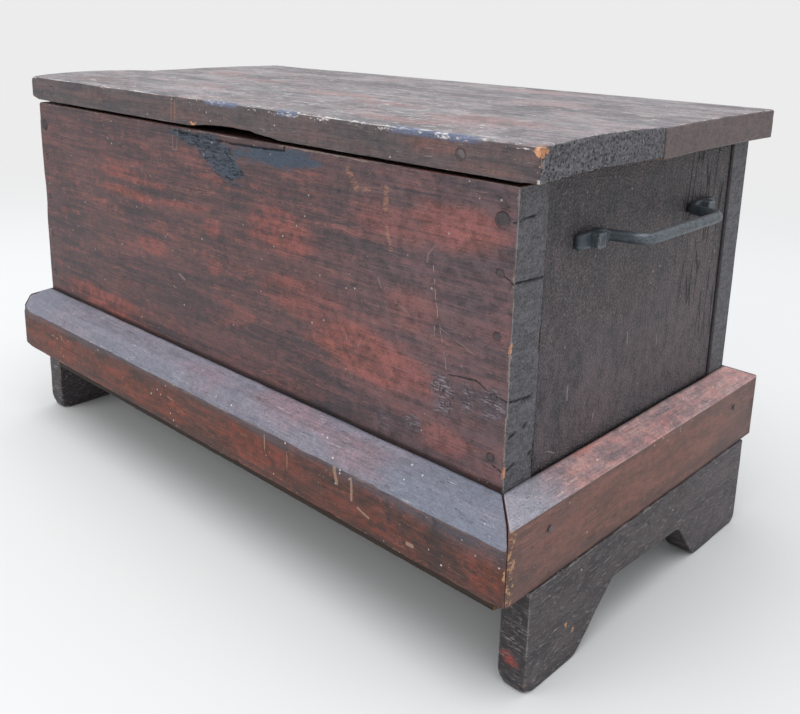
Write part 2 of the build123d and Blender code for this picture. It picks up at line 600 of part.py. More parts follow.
with BuildPart() as plinth_nails:
    for side, sites in plinth_nail_sites.items():
        nails(PLINTH_NAIL, sites, INWARD[side])
save(plinth_nails, "plinth_nails")

with BuildPart() as runner_nails:
    for side, s in SIDES:
        nails(RUNNER_NAIL, runner_nail_sites[side], (-s, 0, 0))
save(runner_nails, "runner_nails")

with BuildPart() as batten_nails:
    nails(BATTEN_NAIL, batten_nail_sites, (0, 0, 1))
save(batten_nails, "batten_nails")

with BuildPart() as lid_edge_nails:
    nails(EDGE_NAIL, edge_nail_sites, INWARD["front"])
save(lid_edge_nails, "lid_edge_nails")
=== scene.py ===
"""Looks of the antique plank chest: worn planks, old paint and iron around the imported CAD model.

Metres, in the model's frame: x to the chest's right, y to its rear, z up, and the floor at z = 0.
"""

import functools
import itertools
import math

import bpy
import numpy as np
from mathutils import Matrix, Vector


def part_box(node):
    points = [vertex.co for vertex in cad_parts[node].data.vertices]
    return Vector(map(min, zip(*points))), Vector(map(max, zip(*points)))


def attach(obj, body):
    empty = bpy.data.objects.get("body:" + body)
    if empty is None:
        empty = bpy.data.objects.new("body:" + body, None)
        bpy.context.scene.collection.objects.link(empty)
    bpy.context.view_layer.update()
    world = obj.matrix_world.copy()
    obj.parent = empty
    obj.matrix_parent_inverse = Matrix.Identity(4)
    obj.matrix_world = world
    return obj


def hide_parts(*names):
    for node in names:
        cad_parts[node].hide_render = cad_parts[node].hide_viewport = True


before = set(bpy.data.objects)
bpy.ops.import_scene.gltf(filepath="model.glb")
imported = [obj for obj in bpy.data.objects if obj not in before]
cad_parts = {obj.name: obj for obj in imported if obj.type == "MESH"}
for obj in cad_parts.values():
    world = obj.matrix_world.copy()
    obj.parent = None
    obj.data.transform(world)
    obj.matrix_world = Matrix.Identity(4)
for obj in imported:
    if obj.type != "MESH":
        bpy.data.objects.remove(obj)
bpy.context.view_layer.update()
MM = 0.001


def span(node, axis):
    """Lowest and highest coordinate of a CAD node along one axis."""
    low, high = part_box(node)
    return low[axis], high[axis]


# Main places, read from the frame
FRONT_FACE, FRONT_INNER = span("front_board", 1)
BACK_INNER, BACK_FACE = span("back_board", 1)
BOX_LEFT, BOX_RIGHT = span("front_board", 0)
WALL_FOOT, WALL_TOP = span("front_board", 2)
PLINTH_LEFT, PLINTH_RIGHT = span("plinth_front", 0)
PLINTH_FRONT = span("plinth_front", 1)[0]
PLINTH_BACK = span("plinth_back", 1)[1]
PLINTH_TOP = span("plinth_front", 2)[1]
LID_UNDER = span("lid_rear_plank", 2)[0]
LID_LEFT, LID_RIGHT = span("lid_front_plank", 0)
LID_FRONT = span("lid_front_plank", 1)[0]
END_FACE = span("right_end_board", 0)[1]
HINGE_X = sum(span("hinge_body_leaf_right", 0)) / 2
SIDES = (("left", -1), ("right", 1))

# Sizes that the frame doesn't give by itself
LID_THICK = 25 * MM
FRONT_CUP = 2.6 * MM
REAR_CUP = 0.9 * MM
HOLLOW_X = 26 * MM
HOLLOW_LENGTH = 132 * MM
HOLLOW_DEPTH = 4.5 * MM
HOLLOW_TILT = math.radians(12)
PLINTH_THICK = 27 * MM
PLINTH_DROP = 11 * MM        # how far an unworn plinth board's top falls to its outer arris
KNEE_OUT, KNEE_DROP = 19.5 * MM, 8.5 * MM    # where a worn top turns into its steep outer slope
MITRE_GAP = 0.4 * MM
PLINTH_CORNER = 6 * MM
NAIL_HEIGHTS = [WALL_TOP - 60 * MM - 45 * MM * n for n in range(4)]
PEG_HEIGHT = WALL_TOP - 24 * MM
FASTENER_X = 318 * MM        # how far the front nails and pegs are from the middle
SPLINTER_END = 94 * MM       # where the worn part of the front board's rim stops
SLIVER_START, SLIVER_STOP = -50 * MM, 96 * MM    # the groove under the split sliver below that rim
SLIVER_HEIGHT = 368.7 * MM
OPEN_JOINT_TOP = 310 * MM    # the joint of front board and end board gapes below this
NOTCH_HALF = 33.5 * MM       # half the width of a hinge leaf's notch
NOTCH_DEPTH = 2.6 * MM
NOTCH_FRONT, NOTCH_BACK = 171 * MM, 179.5 * MM    # where the notches in the lid begin and end
ON_PLANE = 1e-6              # points this near to a plane lie on it
TINY = 1e-9
# Open splits in the front board's ends: height, from and to in shares of its thickness, slope
END_SPLITS = ((0.3095, 0.0, 1.0, -0.002), (0.2235, 0.0, 0.8, -0.002), (0.196, 0.1, 0.9, 0.007),
              (0.172, 0.0, 0.95, 0.005), (0.352, 0.05, 0.5, 0))


# Noise for shapes
def cell_value(cells, seed):
    """A repeatable random value between 0 and 1 for each whole-numbered cell."""
    n = cells.astype(np.int64)
    h = (n[:, 0] * 73856093) ^ (n[:, 1] * 19349663) ^ (n[:, 2] * 83492791) ^ (seed * 40503 + 977)
    for factor in (1274126177, 668265263):
        h = ((h ^ (h >> 15)) * factor) & 0xFFFFFFFF
    return ((h ^ (h >> 15)) & 0xFFFF) / 0xFFFF


def lumps(p, size, seed):
    """Smooth noise between -1 and 1, with lumps of one size or of a size along each axis."""
    q = p / np.asarray(size, float)
    base = np.floor(q)
    f = q - base
    f = f * f * (3 - 2 * f)
    total = np.zeros(len(p))
    for corner in itertools.product((0, 1), repeat=3):
        weight = np.prod(np.where(corner, f, 1 - f), axis=1)
        total += weight * cell_value(base + corner, seed)
    return 2 * total - 1


def layered(p, size, seed, layers=3):
    """Several layers of noise, each half the size and strength of the one before."""
    size = np.asarray(size, float)
    total = sum(lumps(p, size / 2**i, seed + i) / 2**i for i in range(layers))
    return total / (2 - 2.0 ** (1 - layers))


def ease(low, high, x):
    """A smooth step from 0 at low to 1 at high."""
    t = np.clip((x - low) / (high - low), 0, 1)
    return t * t * (3 - 2 * t)


def bands(at, places, full=0.3):
    """The sum of soft bands across one axis, each (place, half width), at full strength in an inner share."""
    return sum(ease(width, width * full, np.abs(at - place)) for place, width in places)


def spots(p, axes, marks, seed, ragged=0.45, grain=(0.03, 0.006), soft=(1.2, 0.55)):
    """How far points lie inside given ovals with ragged outlines, from 0 to 1.

    A mark is (u, v, half length, half height, turn in degrees, strength), with its lengths in millimetres.
    """
    u, v = p[:, axes[0]], p[:, axes[1]]
    size = [0.02] * 3
    size[axes[0]], size[axes[1]] = grain
    rough = layered(p, size, seed, 4)
    total = np.zeros(len(p))
    for *lengths, turn, strength in marks:
        at_u, at_v, long, high = (length * MM for length in lengths)
        c, s = math.cos(math.radians(turn)), math.sin(math.radians(turn))
        du = (c * (u - at_u) + s * (v - at_v)) / long
        dv = (c * (v - at_v) - s * (u - at_u)) / high
        total = np.maximum(total, strength * ease(*soft, np.hypot(du, dv) + ragged * rough))
    return total


# Boards as lattices of points
ARRIS_LINES = np.array([0, 0.4, 0.9, 1.6, 2.5, 3.6, 5.2]) * MM
LEAST_LINE_GAP = 0.2 * MM
FAR_FROM_ARRIS = 60 * MM
RIM_REACH = 2.6 * MM         # the paint goes this far round onto the bare sides


def grid_lines(low, high, step, zones=()):
    """Coordinates across a board: dense at both arrises and in the zones, (from, to, step) each."""
    inner_low, inner_high = low + ARRIS_LINES[-1], high - ARRIS_LINES[-1]
    count = max(2, round((inner_high - inner_low) / step) + 1)
    inner = np.linspace(inner_low, inner_high, count)
    for start, stop, _ in zones:
        inner = inner[(inner < start) | (inner > stop)]
    fine = [np.arange(start, stop, gap) for start, stop, gap in zones]
    every = np.sort(np.concatenate([low + ARRIS_LINES, high - ARRIS_LINES, inner, *fine]))
    kept = [every[0]]
    for value in every[1:]:
        if value - kept[-1] > LEAST_LINE_GAP:
            kept.append(value)
    kept[-1] = high
    return np.array(kept)


def rounded(p, low, high, radius):
    """Points of a box moved onto the same box with rounded corners."""
    inner = np.clip(p, low + radius, high - radius)
    out = p - inner
    length = np.maximum(np.linalg.norm(out, axis=1, keepdims=True), TINY)
    return inner + out * np.minimum(length, radius) / length


class Skin:
    """The closed skin of a squared board: its points, its four-sided faces and the side each is on."""

    def __init__(self, x_lines, y_lines, z_lines):
        lines = (x_lines, y_lines, z_lines)
        shape = tuple(len(a) for a in lines)
        i, j, k = np.indices(shape)
        last = [n - 1 for n in shape]
        on_skin = (i == 0) | (i == last[0]) | (j == 0) | (j == last[1]) | (k == 0) | (k == last[2])
        index = np.full(shape, -1)
        index[on_skin] = np.arange(on_skin.sum())
        self.p = np.stack([a[n[on_skin]] for a, n in zip(lines, (i, j, k))], axis=1)
        self.low = np.array([a[0] for a in lines])
        self.high = np.array([a[-1] for a in lines])
        gaps = np.sort(np.abs(np.concatenate([self.p - self.low, self.high - self.p], axis=1)), axis=1)
        self.arris = gaps[:, 1]
        self.rim = self.arris.copy()
        self.marks = {}
        faces, sides = [], []
        for axis, at_high in itertools.product(range(3), (False, True)):
            sheet = np.take(index, last[axis] if at_high else 0, axis=axis)
            quad = np.stack([sheet[:-1, :-1], sheet[1:, :-1], sheet[1:, 1:], sheet[:-1, 1:]], axis=-1)
            quad = quad.reshape(-1, 4)
            faces.append(quad if at_high == (axis != 1) else quad[:, ::-1])
            sides.append(np.full(len(quad), 2 * axis + at_high))
        self.faces, self.sides = np.concatenate(faces), np.concatenate(sides)

    def on(self, axis, at_high, within=ON_PLANE):
        """Which points are on the plane of one side now; wear takes points off it."""
        edge = self.high[axis] if at_high else self.low[axis]
        return np.abs(self.p[:, axis] - edge) < within

    def round_off(self, radius, axes=(0, 1, 2)):
        """Rounds the arrises between the sides across the given axes; the radius may differ by point."""
        radius = np.broadcast_to(radius, len(self.p))[:, None]
        cols = list(axes)
        self.p[:, cols] = rounded(self.p[:, cols], self.low[cols], self.high[cols], radius)

    def mark(self, name, values):
        """Adds to a mark that the materials read at each point, kept between 0 and 1."""
        self.marks[name] = np.clip(self.marks.get(name, 0) + values, 0, 1)


LEFT_SIDE, RIGHT_SIDE, FRONT_SIDE, BACK_SIDE, UNDERSIDE, TOP_SIDE = range(6)


def piece(name, points, faces, body, materials, nodes, marks=None, face_materials=None):
    """Makes a mesh piece that rides on a body and stands for CAD nodes."""
    mesh = bpy.data.meshes.new(name)
    mesh.from_pydata(np.asarray(points).tolist(), [], [list(map(int, f)) for f in faces])
    mesh.polygons.foreach_set("use_smooth", [True] * len(mesh.polygons))
    for material in materials:
        mesh.materials.append(material)
    if face_materials is not None:
        mesh.polygons.foreach_set("material_index", np.asarray(face_materials, np.int32))
    for mark, values in (marks or {}).items():
        attribute = mesh.attributes.new(mark, "FLOAT", "POINT")
        attribute.data.foreach_set("value", np.asarray(values, np.float32))
    mesh.update()
    made = bpy.data.objects.new(name, mesh)
    bpy.context.scene.collection.objects.link(made)
    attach(made, body)
    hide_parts(*nodes)


def board(node, skin, body, finish, others=None):
    """A plank made from a skin, for a CAD node. finish is the main material, others those of some sides.

    Paint goes a little way round onto bare wooden sides.
    """
    others = others or {}
    materials = [finish]
    for material in others.values():
        if material not in materials:
            materials.append(material)
    numbers = np.array([materials.index(others.get(side, finish)) for side in range(6)])[skin.sides]
    bare = [materials.index(material) for material in others.values() if material.name.startswith("wood")]
    if not finish.name.startswith("wood"):
        painted_rim = np.isin(numbers, bare) & (skin.rim[skin.faces].mean(axis=1) < RIM_REACH)
        numbers[painted_rim] = 0
    marks = dict(skin.marks, arris=np.minimum(skin.arris, FAR_FROM_ARRIS) / MM)
    piece(f"{node}_worn", skin.p, skin.faces, body, materials, [node], marks, numbers)


# Places of fasteners
TOUCHING = 1e-5


def solid_boxes(node):
    """The box of each separate solid in a CAD node."""
    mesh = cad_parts[node].data
    parent = list(range(len(mesh.vertices)))

    def root(n):
        """The vertex that stands for all those joined to this one."""
        while parent[n] != n:
            parent[n] = parent[parent[n]]
            n = parent[n]
        return n

    for edge in mesh.edges:
        a, b = root(edge.vertices[0]), root(edge.vertices[1])
        parent[a] = b
    places = np.array([v.co for v in mesh.vertices])
    groups = {}
    for n in range(len(mesh.vertices)):
        groups.setdefault(root(n), []).append(n)
    boxes = [(places[g].min(0), places[g].max(0)) for g in groups.values()]
    return merge_boxes(boxes)


def merge_boxes(boxes):
    """Joins boxes that overlap, so that a solid whose faces are apart counts once."""
    merged = []
    for low, high in boxes:
        low, high = low.copy(), high.copy()
        keep = []
        for other_low, other_high in merged:
            if np.all(low <= other_high + TOUCHING) and np.all(other_low <= high + TOUCHING):
                low, high = np.minimum(low, other_low), np.maximum(high, other_high)
            else:
                keep.append((other_low, other_high))
        merged = keep + [(low, high)]
    return merged


def nail_places(node):
    """Where each nail of a CAD node enters the wood, and its outward direction: down for upright nails."""
    found = []
    for low, high in solid_boxes(node):
        long = int(np.argmax(high - low))
        site = (low + high) / 2
        outward = site[long] > 0 and long != 2
        sign = 1 if outward else -1
        site[long] = high[long] if outward else low[long]
        normal = np.zeros(3)
        normal[long] = sign
        found.append((tuple(site), tuple(normal)))
    return found


# Node trees written as sums
class Value:
    """A number in a material's node tree."""

    def __init__(self, graph, socket):
        self.graph, self.socket = graph, socket

    def __add__(self, other):
        return self.graph.math("ADD", self, other)

    def __sub__(self, other):
        return self.graph.math("SUBTRACT", self, other)

    def __rsub__(self, other):
        return self.graph.math("SUBTRACT", other, self)

    def __mul__(self, other):
        return self.graph.math("MULTIPLY", self, other)


class Graph:
    """A material and the tools to write its node tree."""

    def __init__(self, name, seed=0):
        self.material = bpy.data.materials.new(name)
        self.material.use_nodes = True
        self.tree = self.material.node_tree
        self.tree.nodes.clear()
        self.place = self.node("ShaderNodeTexCoord").outputs["Object"]
        self.seed = seed
        self.colour = None

    def feed(self, socket, value):
        """Links a value to a socket, or sets the socket to a plain one."""
        if isinstance(value, Value):
            value = value.socket
        if isinstance(value, bpy.types.NodeSocket):
            self.tree.links.new(value, socket)
        else:
            socket.default_value = value

    def node(self, kind, settings=None, **inputs):
        """A node with its settings and its inputs by name, where _ stands for a space."""
        made = self.tree.nodes.new(kind)
        for key, value in (settings or {}).items():
            setattr(made, key, value)
        for key, value in inputs.items():
            self.feed(made.inputs[key.replace("_", " ")], value)
        return made

    def math(self, operation, a, b=0.0, clamp=False):
        """One operation on numbers."""
        made = self.node("ShaderNodeMath", {"operation": operation, "use_clamp": clamp})
        self.feed(made.inputs[0], a)
        self.feed(made.inputs[1], b)
        return Value(self, made.outputs[0])

    def step(self, value, low, high, low_out=0.0, high_out=1.0):
        """A smooth step of a value, from low_out at low to high_out at high."""
        made = self.node("ShaderNodeMapRange", {"interpolation_type": "SMOOTHSTEP", "clamp": True})
        for socket, number in zip(made.inputs, (value, low, high, low_out, high_out)):
            self.feed(socket, number)
        return Value(self, made.outputs[0])

    def most(self, values):
        """The greatest of several values."""
        return functools.reduce(lambda a, b: self.math("MAXIMUM", a, b), values)

    def mark(self, name):
        """A mark of the skin; 0 where the skin has none of that name."""
        return Value(self, self.node("ShaderNodeAttribute", {"attribute_name": name}).outputs["Fac"])

    def stretched(self, size, turn=(0, 0, 0), shift=0.0):
        """Places divided by a size along each axis, so that noise of scale 1 has lumps of that size."""
        offset = [shift + self.seed * 1.37 + 0.71 * n for n in range(3)]
        made = self.node("ShaderNodeMapping", None, Vector=self.place, Location=offset,
                         Rotation=[math.radians(a) for a in turn], Scale=[1 / s for s in size])
        return made.outputs[0]

    def noise(self, size, detail=3.0, roughness=0.5, distortion=0.0, turn=(0, 0, 0), shift=0.0):
        """Noise between 0 and 1; a size is one length or a length along each axis."""
        size = (size,) * 3 if isinstance(size, (int, float)) else size
        made = self.node("ShaderNodeTexNoise", None, Vector=self.stretched(size, turn, shift), Scale=1.0,
                         Detail=detail, Roughness=roughness, Distortion=distortion)
        return Value(self, made.outputs["Fac"])

    def patches(self, size, low, high, detail=3.0, roughness=0.5, distortion=0.0, **places):
        """Noise sharpened into patches: 0 where it is under low and 1 where it is over high."""
        return self.step(self.noise(size, detail, roughness, distortion, **places), low, high)

    def cells(self, size, feature="F1", shift=0.0):
        """Distance to the nearest of scattered points, or to the edge of its cell."""
        size = (size,) * 3 if isinstance(size, (int, float)) else size
        made = self.node("ShaderNodeTexVoronoi", {"feature": feature},
                         Vector=self.stretched(size, shift=shift), Scale=1.0)
        return Value(self, made.outputs["Distance"])

    def mix(self, share, a, b):
        """A colour between a and b."""
        made = self.node("ShaderNodeMix", {"data_type": "RGBA", "clamp_factor": True})
        self.feed(made.inputs[0], share)
        self.feed(made.inputs[6], a)
        self.feed(made.inputs[7], b)
        return made.outputs[2]

    def lay(self, share, paint):
        """Lays a paint over the material's colour, by a share."""
        self.colour = self.mix(share, self.colour, paint)

    def lay_each(self, strokes, strength, paint):
        """Lays a paint over the material's colour along strokes."""
        for stroke in strokes:
            self.lay(stroke * strength, paint)

    def dim(self, value):
        """Makes the material's colour darker or lighter by a number."""
        self.colour = self.shade(self.colour, value)

    def shade(self, colour, value):
        """A colour made darker or lighter by a number."""
        made = self.node("ShaderNodeVectorMath", {"operation": "SCALE"}, Scale=value)
        self.feed(made.inputs[0], colour[:3] if isinstance(colour, tuple) else colour)
        return made.outputs[0]

    def vector(self, operation, *inputs, output="Vector"):
        """One operation on vectors."""
        made = self.node("ShaderNodeVectorMath", {"operation": operation})
        for socket, value in zip(made.inputs, inputs):
            self.feed(socket, value)
        return made.outputs[output]

    def stroke(self, a, b, width, wobble):
        """A scratch from point a to point b: 1 on its line and 0 beyond its width."""
        a, run = Vector(a), Vector(b) - Vector(a)
        drift = self.node("ShaderNodeTexNoise", None, Vector=self.place, Scale=90.0, Detail=2.0)
        centred = self.vector("SUBTRACT", drift.outputs["Color"], (0.5, 0.5, 0.5))
        at = self.vector("MULTIPLY_ADD", centred, (wobble,) * 3, self.place)
        away = self.vector("SUBTRACT", at, a)
        along = self.vector("DOT_PRODUCT", away, run / run.length_squared, output="Value")
        share = self.math("ADD", along, 0.0, clamp=True)
        foot = self.node("ShaderNodeVectorMath", {"operation": "SCALE"}, Scale=share)
        foot.inputs[0].default_value = run
        off = self.vector("DISTANCE", away, foot.outputs[0], output="Value")
        return self.step(Value(self, off), width, width * 0.4)

    def strokes(self, face, lines, wobble):
        """The strokes on a face, given as (axis, depth). A line is (u, v, u, v, width) in millimetres."""
        axis, depth = face
        made = []
        for line in lines:
            *ends, width = (length * MM for length in line)
            a, b = (list(ends[:2]), list(ends[2:]))
            a.insert(axis, depth)
            b.insert(axis, depth)
            made.append(self.stroke(a, b, width, wobble))
        return made

    def dots(self, centres, radius, soft):
        """1 within a radius of any of the centres."""
        offs = [self.vector("DISTANCE", self.place, centre, output="Value") for centre in centres]
        return self.most([self.step(Value(self, off), radius + soft, radius) for off in offs])

    def finish(self, roughness, height, depth, metallic=0.0, specular=0.5):
        """Ends the tree in a shader, with height as bumps of a depth in metres."""
        bump = self.node("ShaderNodeBump", None, Strength=1.0, Distance=depth, Height=height)
        shader = self.node("ShaderNodeBsdfPrincipled", None, Base_Color=self.colour, Roughness=roughness,
                           Metallic=metallic, Normal=bump.outputs[0])
        shader.inputs["Specular IOR Level"].default_value = specular
        self.node("ShaderNodeOutputMaterial", None, Surface=shader.outputs[0])
        return self.material


def tone(red, green, blue):
    """A linear colour from the 0 to 255 numbers of a colour picker."""
    linear = [((c / 255 + 0.055) / 1.055) ** 2.4 if c > 10 else c / 255 / 12.92 for c in (red, green, blue)]
    return (*linear, 1.0)


def grained(grain, along, across):
    """Lump sizes for noise that runs with the grain along one axis."""
    size = [across] * 3
    size[grain] = along
    return size


# Materials
def old_paint(name, grain, tones, seed, warmth=0.3, specks=0.6, scratches=0.4, wear=1.0,
              patch=(0.13, 0.022), wisp=(0.13, 0.0042), hair=(0.02, 0.0007), thread=(0.022, 0.0009),
              grit=0.5, pimples=0.0, extra=None):
    """Old oil paint rubbed thin over a plank, with patches and wisps drawn out along the grain.

    patch, wisp, hair and thread are lengths along and across the grain, of the tone's patches and streaks, of
    scratches and of fibres. grit and pimples roughen the surface. extra adds marks at their places.
    """
    g = Graph(name, seed)
    cloud = g.noise(grained(grain, *patch), 4, 0.6, 0.8)
    other = g.noise(grained(grain, patch[0] * 0.8, patch[1] * 0.7), 5, 0.65, 1.0, shift=5)
    wisps = g.noise(grained(grain, *wisp), 5, 0.7, 0.6, shift=3)
    fibre = g.noise(grained(grain, *thread), 3, 0.68, 0.25, shift=7)
    brush = g.noise(grained(grain, thread[0] * 4, thread[1] * 1.9), 4, 0.7, 0.4, shift=17)
    mottle = g.noise(0.009, 5, 0.68, shift=11)
    sand = g.noise(0.0017, 3, 0.8, shift=13)
    ground = g.step(cloud * 0.5 + wisps * 0.35 + mottle * 0.25, 0.42, 0.66)
    g.colour = g.mix(ground, tones["dark"], tones["base"])
    shadow = g.mark("shade") * g.step(wisps * 0.6 + mottle * 0.5, 0.78, 0.36)
    g.lay(shadow, tones["dark"])
    flame = g.step(other * 0.6 + wisps * 0.4 + mottle * 0.15, 0.59 - 0.12 * warmth, 0.87 - 0.12 * warmth)
    kindled = g.mark("warm") * g.step(wisps * 0.75 + mottle * 0.35 + fibre * 0.1, 0.38, 0.68)
    ember = g.mix(g.step(mottle * 0.5 + cloud * 0.5, 0.42, 0.58), tones["rust"], tones["warm"])
    g.lay(g.most([flame * 0.5, kindled * 0.85]), ember)
    g.lay(g.step(brush, 0.53, 0.66) * 0.22, tones["dark"])
    g.lay(g.step(brush, 0.44, 0.34) * 0.16, tones["vein"])
    line = g.math("ABSOLUTE", g.noise(grained(grain, 0.05, 0.009), 3, 0.6, 1.0, shift=15) - 0.5)
    vein = g.step(line, 0.02, 0.004) * g.step(other, 0.48, 0.62)
    g.lay(vein * 0.35, tones["vein"])
    g.lay(g.mark("blue") * g.step(mottle, 0.2, 0.5, 0.8, 1.0), tones["blue"])
    dash = g.patches(grained(grain, 0.008, 0.0011), 0.6, 0.7, 3, 0.7, 0.4, shift=19)
    tops = g.step(g.cells(0.0024, shift=21), 0.6, 0.15)
    level = fibre * 0.7 + mottle * 0.45 + sand * (grit * 1.8) + tops * (pimples * 0.5)
    g.dim(level + (1.0 - 0.575 - grit * 0.9 - pimples * 0.22) - dash * 0.2)
    more = 0.05 * scratches
    rubbed = g.patches(grained(grain, *hair), 0.67 - more, 0.73 - more, 2, 0.7, 0.1,
                       turn=(1.5, 4.0, 2.5), shift=23)
    broken = g.patches(0.03, 0.46, 0.58, 3, 0.6, shift=29)
    g.lay(rubbed * broken * scratches, tones["pale"])
    flake = g.step(g.cells(0.0085, shift=31), 0.13, 0.07) * g.patches(0.03, 0.52, 0.6, 3, 0.6, shift=37)
    dust = g.step(g.cells(0.0045, shift=33), 0.12, 0.05) * g.patches(0.05, 0.52, 0.64, 3, 0.6, shift=39)
    g.lay(g.most([flake, dust * 0.7]) * specks, tones["speck"])
    raw = g.mark("raw")
    chip = g.step(g.noise(0.0034, 4, 0.7, shift=41) - raw * 0.31, 0.3, 0.24) * g.step(raw, 0.02, 0.2)
    g.lay(chip, g.shade(tones["raw"], mottle * 1.1 + 0.45))
    pale = g.mark("pale")
    bare = g.step(g.noise(grained(grain, 0.005, 0.0016), 4, 0.75, shift=43) - pale * 0.4, 0.3, 0.22)
    g.lay(bare * g.step(pale, 0.02, 0.25), tones["pale"])
    rim = g.mark("arris") - g.noise(grained(grain, 0.014, 0.005), 4, 0.7, shift=47) * 4.6
    worn = g.step(rim, -0.9, -1.9) * wear
    rubbed_through = g.patches(grained(grain, 0.04, 0.02), 0.46, 0.6, 3, 0.6, shift=53)
    g.lay(worn * (rubbed_through * 0.75 + 0.1), tones["pale"])
    height = wisps * 0.25 + fibre * 0.35 + mottle * 0.35 + sand * (grit * 0.7) + tops * (pimples * 0.8)
    height = height - chip * 0.4 - dash * 0.3
    rough = mottle * 0.25 + 0.38 + worn * 0.15
    if extra:
        height, rough = extra(g, height, rough, tones)
    g.lay(g.mark("faded") * g.step(mottle * 0.6 + wisps * 0.4, 0.36, 0.6) * 0.6, tones["haze"])
    # Darker by a mark that carries real dirt and also painted shade in creases, joints and under the lid
    g.dim(1.0 - g.mark("dirt_and_shade") * 0.85)
    return g.finish(rough, height, 0.0009, specular=0.25)


def chest_tones(base, dark, warm, rust, **changes):
    """A set of paint tones in 0 to 255 numbers, with this chest's usual bare wood, chips and specks."""
    usual = {"vein": (158, 112, 104), "blue": (44, 50, 62), "raw": (196, 138, 104), "pale": (146, 130, 122),
             "speck": (204, 194, 186), "haze": (114, 102, 110)}
    chosen = {**usual, "base": base, "dark": dark, "warm": warm, "rust": rust, **changes}
    return {use: tone(*numbers) for use, numbers in chosen.items()}


def front_marks(g, height, rough, tones):
    """Scratches, splits and cracked paint at their places on the front board."""
    face = (1, FRONT_FACE)
    long_scratch = [(259, 307, 265, 271, 0.5), (265, 271, 275, 233, 0.4)]
    g.lay_each(g.strokes(face, long_scratch, 0.003), 0.7, tone(176, 152, 142))
    pale_lines = [(253.5, 308, 254.5, 315, 0.6), (254.5, 315, 260, 322, 0.6), (-64.5, 372, -66, 352, 0.6),
                  (-57.5, 372, -59.5, 352, 0.6), (-66, 352, -59.5, 352, 0.6), (-63, 231, -54, 228, 1.6),
                  (262, 262, 263, 255, 0.7), (205, 286, 208, 279, 0.8), (170, 232, 171, 226, 0.8),
                  (226, 271, 238, 264, 0.5), (268, 262, 300, 251, 0.5)]
    g.lay_each(g.strokes(face, pale_lines, 0.002), 0.6, tones["pale"])
    smears = [(172, 364, 180, 352, 4.0), (186, 352, 194, 353, 2.4), (212, 356, 211, 341, 3.84),
              (212, 326, 217, 311, 2.56)]
    patchy = g.patches((0.004, 0.004, 0.0014), 0.40, 0.60, 4, 0.75, shift=61)
    smeared = [stroke * patchy for stroke in g.strokes(face, smears, 0.0035)]
    g.lay_each(smeared, 0.7, tone(178, 128, 98))
    hairlines = [(11, 276, 22, 262, 0.8), (24, 283, 34, 266, 0.8), (-20, 318, -4, 315, 0.8),
                 (-4, 315, 8, 306, 0.8)]
    g.lay_each(g.strokes(face, hairlines, 0.012), 0.6, tone(30, 27, 30))
    splits = [(277, 229.5, 303, 231.5, 0.7), (303, 231.5, 313, 227.5, 0.7), (318, 226, 330, 224.5, 0.7),
              (322, 312.5, 330, 308.5, 0.7), (320, 173.5, 330, 170, 0.7), (326, 349.5, 330, 350.5, 0.7)]
    sliver = [(-55, 369, 30, 367.8, 1.2), (30, 367.8, 95.5, 369.2, 1.1)]
    sliver_end = [(95.5, 369.2, 96.5, 374, 1.1)]
    slivers = g.most(g.strokes(face, sliver, 0.002) + g.strokes(face, sliver_end, 0.001))
    crack = g.most([g.most(g.strokes(face, splits, 0.004)), slivers])
    scaly = g.math("ABSOLUTE", g.noise((0.013, 0.013, 0.0024), 3, 0.6, 0.5, turn=(0, 24, 0), shift=67) - 0.5)
    drawn = g.mark("scaly") * g.patches(0.012, 0.36, 0.5, 3, shift=71)
    crack = g.most([crack, g.step(scaly, 0.03, 0.006) * drawn * 0.8])
    g.lay(crack, tone(18, 17, 20))
    scrape = g.patches((0.009, 0.009, 0.0013), 0.46, 0.55, 3, 0.75, shift=73) * g.mark("bruise")
    g.lay(g.mark("bruise") * 0.4, tone(82, 76, 84))
    g.lay(scrape * 0.8, tone(142, 132, 138))
    gouge = g.patches((0.0016, 0.0016, 0.006), 0.6, 0.68, 3, 0.7, shift=75) * g.mark("bruise")
    g.lay(gouge * 0.8, tone(24, 22, 25))
    nails = [(sign * FASTENER_X, FRONT_FACE, z) for _, sign in SIDES for z in NAIL_HEIGHTS]
    pegs = [(sign * FASTENER_X, FRONT_FACE, PEG_HEIGHT) for _, sign in SIDES]
    ring = g.most([g.dots(nails, 2.7 * MM, 1.3 * MM), g.dots(pegs, 5.6 * MM, 1.0 * MM)])
    g.lay(ring * 0.6, tone(34, 30, 32))
    height = height - crack * 2.4 - scrape * 0.8 - ring - gouge
    return height, rough + scrape * 0.1


def end_marks(g, height, rough, tones):
    """Long checks in the upright grain of an end board."""
    checks = g.cells((0.02, 0.011, 0.085), "DISTANCE_TO_EDGE", shift=79)
    line = g.step(checks, 0.085, 0.02) * g.patches((0.05, 0.02, 0.05), 0.42, 0.54, 3, shift=83)
    line = line * g.mark("checked")
    g.lay(line * 0.9, tone(22, 20, 22))
    dashes = [(-98, 214, -97.5, 203, 1.2), (-15, 236, -14, 228, 1), (-58, 180, -58, 176, 1.2),
              (35, 222, 36, 213, 0.9), (-118, 168, -110, 164, 0.8)]
    g.lay_each(g.strokes((0, END_FACE), dashes, 0.002), 0.7, tone(170, 158, 156))
    return height - line * 2.2, rough


def edge_marks(g, height, rough, tones):
    """Twin tool lines and a few dents on the lid's front edge."""
    lines = [(-63.5, 398.5, -64.5, 378.5, 0.6), (-57.5, 398.5, -58.5, 378.5, 0.6)]
    g.lay_each(g.strokes((1, LID_FRONT), lines, 0.001), 0.6, tone(168, 118, 92))
    ring = g.dots([place for place, _ in nail_places("lid_edge_nails")], 4.0 * MM, 0.9 * MM)
    g.lay(ring * 0.45, tone(44, 40, 44))
    return height - ring * 0.8, rough


